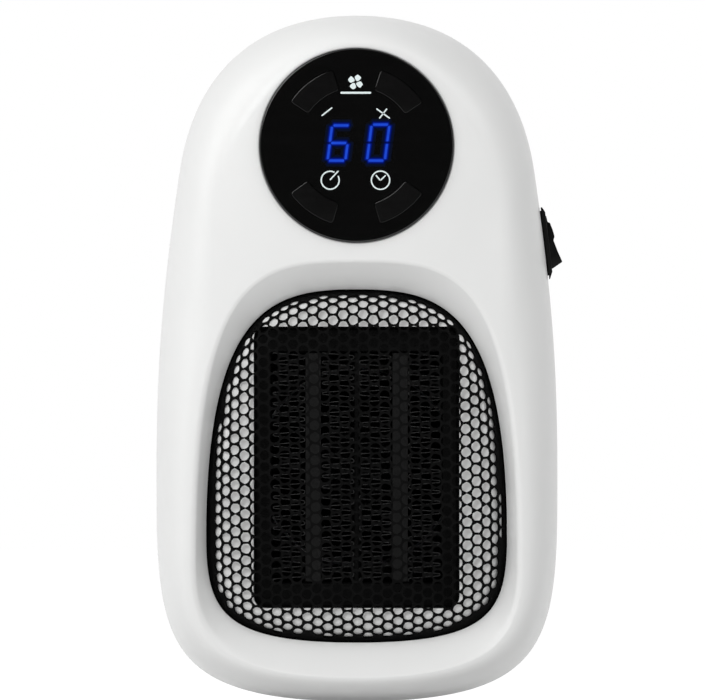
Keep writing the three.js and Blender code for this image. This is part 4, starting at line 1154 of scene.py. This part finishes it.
def segment(form, x, z, length, upright, width, front):
    """One pointed bar of a figure."""
    made = bmesh.ops.create_circle(form, cap_ends=True, segments=6, radius=width / 2)["verts"]
    for vert in made:
        along = vert.co.y + copysign(length / 2 - width / 2, vert.co.y)
        across = vert.co.x * 1.15
        spot = (x + across, z + along) if upright else (x + along, z + across)
        vert.co = (spot[0] + digit_slant * spot[1], front, spot[1] + panel_z)


def figure(form, middle_x, middle_z, height, lit, glow, front):
    half = height / 4
    side = digit_width / 2
    places = {
        "top": (0, 2 * half, False), "middle": (0, 0, False), "bottom": (0, -2 * half, False),
        "upper left": (-side, half, True), "upper right": (side, half, True),
        "lower left": (-side, -half, True), "lower right": (side, -half, True),
    }
    for name in lit:
        x, z, upright = places[name]
        length = (2 * half if upright else digit_width) - segment_break + glow
        segment(form, middle_x + x, middle_z + z, length, upright, segment_width + glow, front)


for step, (name, paint_name, glow, colour, deep) in enumerate((
    ("figure_haze", "segment_haze", 2.6, (0.0025, 0.0035, 0.0065), (0.0025, 0.0035, 0.0055)),
    ("figure_veil", "segment_veil", 1.75, (0.002, 0.0033, 0.014), (0.002, 0.0033, 0.012)),
    ("figure_halo", "segment_halo", 1.15, (0.001, 0.003, 0.034), (0.001, 0.003, 0.028)),
    ("figure_glow", "segment_glow", 0.75, (0.0, 0.004, 0.12), (0.0, 0.003, 0.1)),
    ("figure_edge", "segment_edge", 0.3, (0.003, 0.014, 0.27), (0.002, 0.011, 0.21)),
    ("blue_figures", "segment_core", -0.3, (0.015, 0.075, 0.7), (0.01, 0.055, 0.56)),
)):
    paint = lit_segments(paint_name, colour, deep)
    front = panel_front_y - layer_step * (step + 1)
    form = bmesh.new()
    figure(form, -5.45, 0.72, digit_height - 0.45, six, glow, front)
    figure(form, 6.5, 0.85, digit_height - 0.2, zero, glow, front)
    drawn_out(form, list(form.faces), (0, mark_back_y - front, 0))
    piece(name, form, paint)


# Rocker switch
bezel_side = [
    (0.3, -11.1), (0.5, -11.1), (1.5, -8.9), (1.5, 9.3), (1.25, 9.95), (0.7, 10.9), (0.3, 10.95),
]
form = bmesh.new()
prism(form, bezel_side, bezel_half_width, -bezel_half_width)
bevelled(form, list(form.edges), 0.12, 2)
form = carved(form, box_form((12.8, 12.8, 19.8), (-5.5, 0, 0)), "UNION")
form = carved(form, box_form((12.0, 11.0, 18.2), (-2.4, 0, 0)))
form.transform(switch_place)
piece("switch_bezel", form, switch_black, ["switch_housing"])

front_curve = [(4.8, 7.4), (4.62, 5.4), (5.2, 5.0), (5.3, 2.6), (5.2, 0.6), (4.5, -0.4),
               (4.62, -4.0), (4.95, -7.5)]
back_curve = [(1.4, -8.5), (-2.0, -7.0), (-4.5, -2.9), (-4.5, 2.9), (-2.0, 7.0), (1.4, 8.4)]
form = bmesh.new()
prism(form, front_curve + back_curve, rocker_half_width, -rocker_half_width)
bevelled(form, list(form.edges), 0.22, 2)
form.transform(rocker_place)
piece("rocker_cap", form, rocker_black, ["switch_rocker"], "rocker", sharp=25.0)


# Turning plug
form = bmesh.new()
turned(form, [
    (0, 0), (15.0, 0), (15.4, -0.4), (15.8, -0.4), (16.2, 0), (turret_radius - 1.0, 0),
    (turret_radius - 0.4, -0.2), (turret_radius, -0.8), (turret_radius, -10.5),
    (turret_flange, -10.5), (turret_flange, turret_inner_y), (0, turret_inner_y),
], steps=128)
tool = bmesh.new()
for side in (1, -1):
    x = side * blade_offset
    slit = [(x - 1.05, -3.5), (x + 1.05, -3.5), (x + 1.05, 3.5), (x - 1.05, 3.5)]
    prism(tool, slit, 1.0, -8.0)
form = carved(form, tool)
piece("turning_plug", form, shell_white, ["plug_turret"], "plug")

for name, side in (("live", 1), ("neutral", -1)):
    form = bmesh.new()
    x = side * blade_offset
    half = [(blade_half, blade_root_y), (blade_half, blade_end_y - 2.5),
            (blade_half - 0.4, blade_end_y)]
    outline = [(x - out, y) for out, y in half] + [(x + out, y) for out, y in half[::-1]]
    face = form.faces.new([form.verts.new((*spot, -blade_height / 2)) for spot in outline])
    drawn_out(form, [face], (0, 0, blade_height))
    bevelled(form, list(form.edges), 0.18, 3)
    tool = bmesh.new()
    through = Matrix.Translation((x, blade_hole_y, 0)) @ Matrix.Rotation(pi / 2, 4, "Y")
    bmesh.ops.create_cone(
        tool, cap_ends=True, segments=40, radius1=blade_hole_radius, radius2=blade_hole_radius,
        depth=6.0, matrix=through)
    form = carved(form, tool)
    piece(f"{name}_blade", form, nickel, [f"{name}_prong"], "plug")


# Cross-headed screws in the rear wells
top, under, tip = -28.75, -30.55, -40.5
cross_arm = [(-1.5, -0.28), (1.5, -0.28), (1.5, 0.28), (-1.5, 0.28)]
for number, (x, z) in enumerate(cover_spots(), start=1):
    form = bmesh.new()
    turned(form, [
        (0, top), (1.6, top), (2.4, top - 0.4), (2.7, top - 1.0), (2.7, under), (1.4, under),
        (1.4, tip + 1.6), (0, tip),
    ], x, z, 36)
    for degrees in (20.0, 110.0):
        tool = bmesh.new()
        prism(tool, turned_outline(cross_arm, x, z, degrees), top + 0.5, top - 0.9)
        form = carved(form, tool)
    piece(f"cross_screw_{number}", form, zinc_screw, [f"cover_screw_{number}"])


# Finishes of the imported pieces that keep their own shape
finishes = {
    bar_grey: ["heater_bar_left", "heater_bar_right"],
    frame_black: ["heater_separator"],
    inner_grey: ["fan_frame", "plug_retainer"],
    vane_black: ["heater_relay"] + [f"{name}_tact_switch" for name in keys],
    drawn_steel: ["motor_shaft"],
    dark_steel: ["fan_motor", "live_tab", "neutral_tab", "thermal_cutout"],
    black_screw: [f"fan_screw_{number}" for number in range(1, 5)],
    zinc_screw: ["board_screw_1", "board_screw_2"] + [
        f"retainer_screw_{number}" for number in range(1, 4)],
    nickel: ["upper_terminal", "lower_terminal"],
    brass: ["live_slip_ring", "neutral_slip_ring", "live_brush", "neutral_brush"],
    can_silver: ["supply_capacitor"],
    board_green: ["power_board", "display_board"],
    capacitor_blue: ["film_capacitor"],
    inner_white: ["fuse"],
    window_dark: ["led_display"],
}
for paint, names in finishes.items():
    for name in names:
        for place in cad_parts[name].material_slots:
            place.link = "OBJECT"
            place.material = paint


# Floor, light and camera
def plane(name, size, place, turn, paint):
    form = bmesh.new()
    bmesh.ops.create_grid(form, x_segments=1, y_segments=1, size=size / 2)
    mesh = mesh_of(name, form)
    mesh.materials.append(paint)
    made = linked(name, mesh)
    made.location = place
    made.rotation_euler = turn
    return made


def seen_directly(paint):
    """1 where the camera, a reflection or a refraction sees the surface."""
    seen, mirrored, passed = (
        paint.add("LightPath", output=f"Is {ray} Ray")
        for ray in ("Camera", "Glossy", "Transmission")
    )
    return seen.sum_with("MAXIMUM", seen, seen.sum_with("MAXIMUM", mirrored, passed))


floor_size = 12.0
card_size = 3.2
paint = Paint("pale_floor")
matte = paint.add("BsdfDiffuse", sockets={"Color": colour_of(0.75)})
level = seen_directly(paint) * 0.62
lift = paint.add("Emission", sockets={"Color": colour_of(1.0), "Strength": level})
whole = paint.add("AddShader", sockets={0: matte, 1: lift})
paint.add("OutputMaterial", sockets={"Surface": whole})
plane("pale_floor", floor_size, (0, 0, body_bottom * MM - 0.0004), (0, 0, 0), paint.material)

paint = Paint("dark_card")
matte = paint.add("BsdfDiffuse", sockets={"Color": colour_of(0.01)})
paint.add("OutputMaterial", sockets={"Surface": matte})
card = plane("dark_card", card_size, (0, -2.6, 0.02), (pi / 2, 0, 0), paint.material)
card.visible_camera = False
card.visible_diffuse = False
card.visible_shadow = False

sky = Paint("studio", "worlds")
bpy.context.scene.world = sky.material
level = 0.56 + seen_directly(sky) * 0.44
ground = sky.add("Background", sockets={"Color": colour_of(1.0), "Strength": level})
sky.add("OutputWorld", sockets={"Surface": ground})

lamp_aim = Vector((0, -0.05, -0.04))
for name, way, size, power in (
    ("key_box", (-0.8, -0.25, 0.5), 0.7, 2.25),
    ("front_box", (-0.3, -0.9, 0.35), 0.35, 2.6),
    ("right_box", (0.6, -0.5, 0.6), 0.5, 0.95),
):
    lamp = bpy.data.lights.new(name, "AREA")
    lamp.shape = "SQUARE"
    lamp.size = size
    lamp.energy = power
    made = linked(name, lamp)
    made.location = lamp_aim + Vector(way) * 0.9
    made.rotation_euler = (-Vector(way)).to_track_quat("-Z", "Y").to_euler()

lens = bpy.data.cameras.new("portrait_lens")
camera = linked("portrait_camera", lens)
bpy.context.scene.camera = camera
picture_width = 707
mm_per_pixel = 0.3042
distance = 8.0
azimuth = radians(0.3)
sight = Vector((-0.00105, -0.05, -0.0380))
away = Vector((sin(azimuth), -cos(azimuth), 0))
camera.location = sight + away * distance
camera.rotation_euler = (-away).to_track_quat("-Z", "Y").to_euler()
lens.sensor_width = 36.0
lens.lens = lens.sensor_width * distance / (picture_width * mm_per_pixel * MM)
lens.clip_end = 500.0

bpy.context.scene.view_settings.view_transform = "Standard"
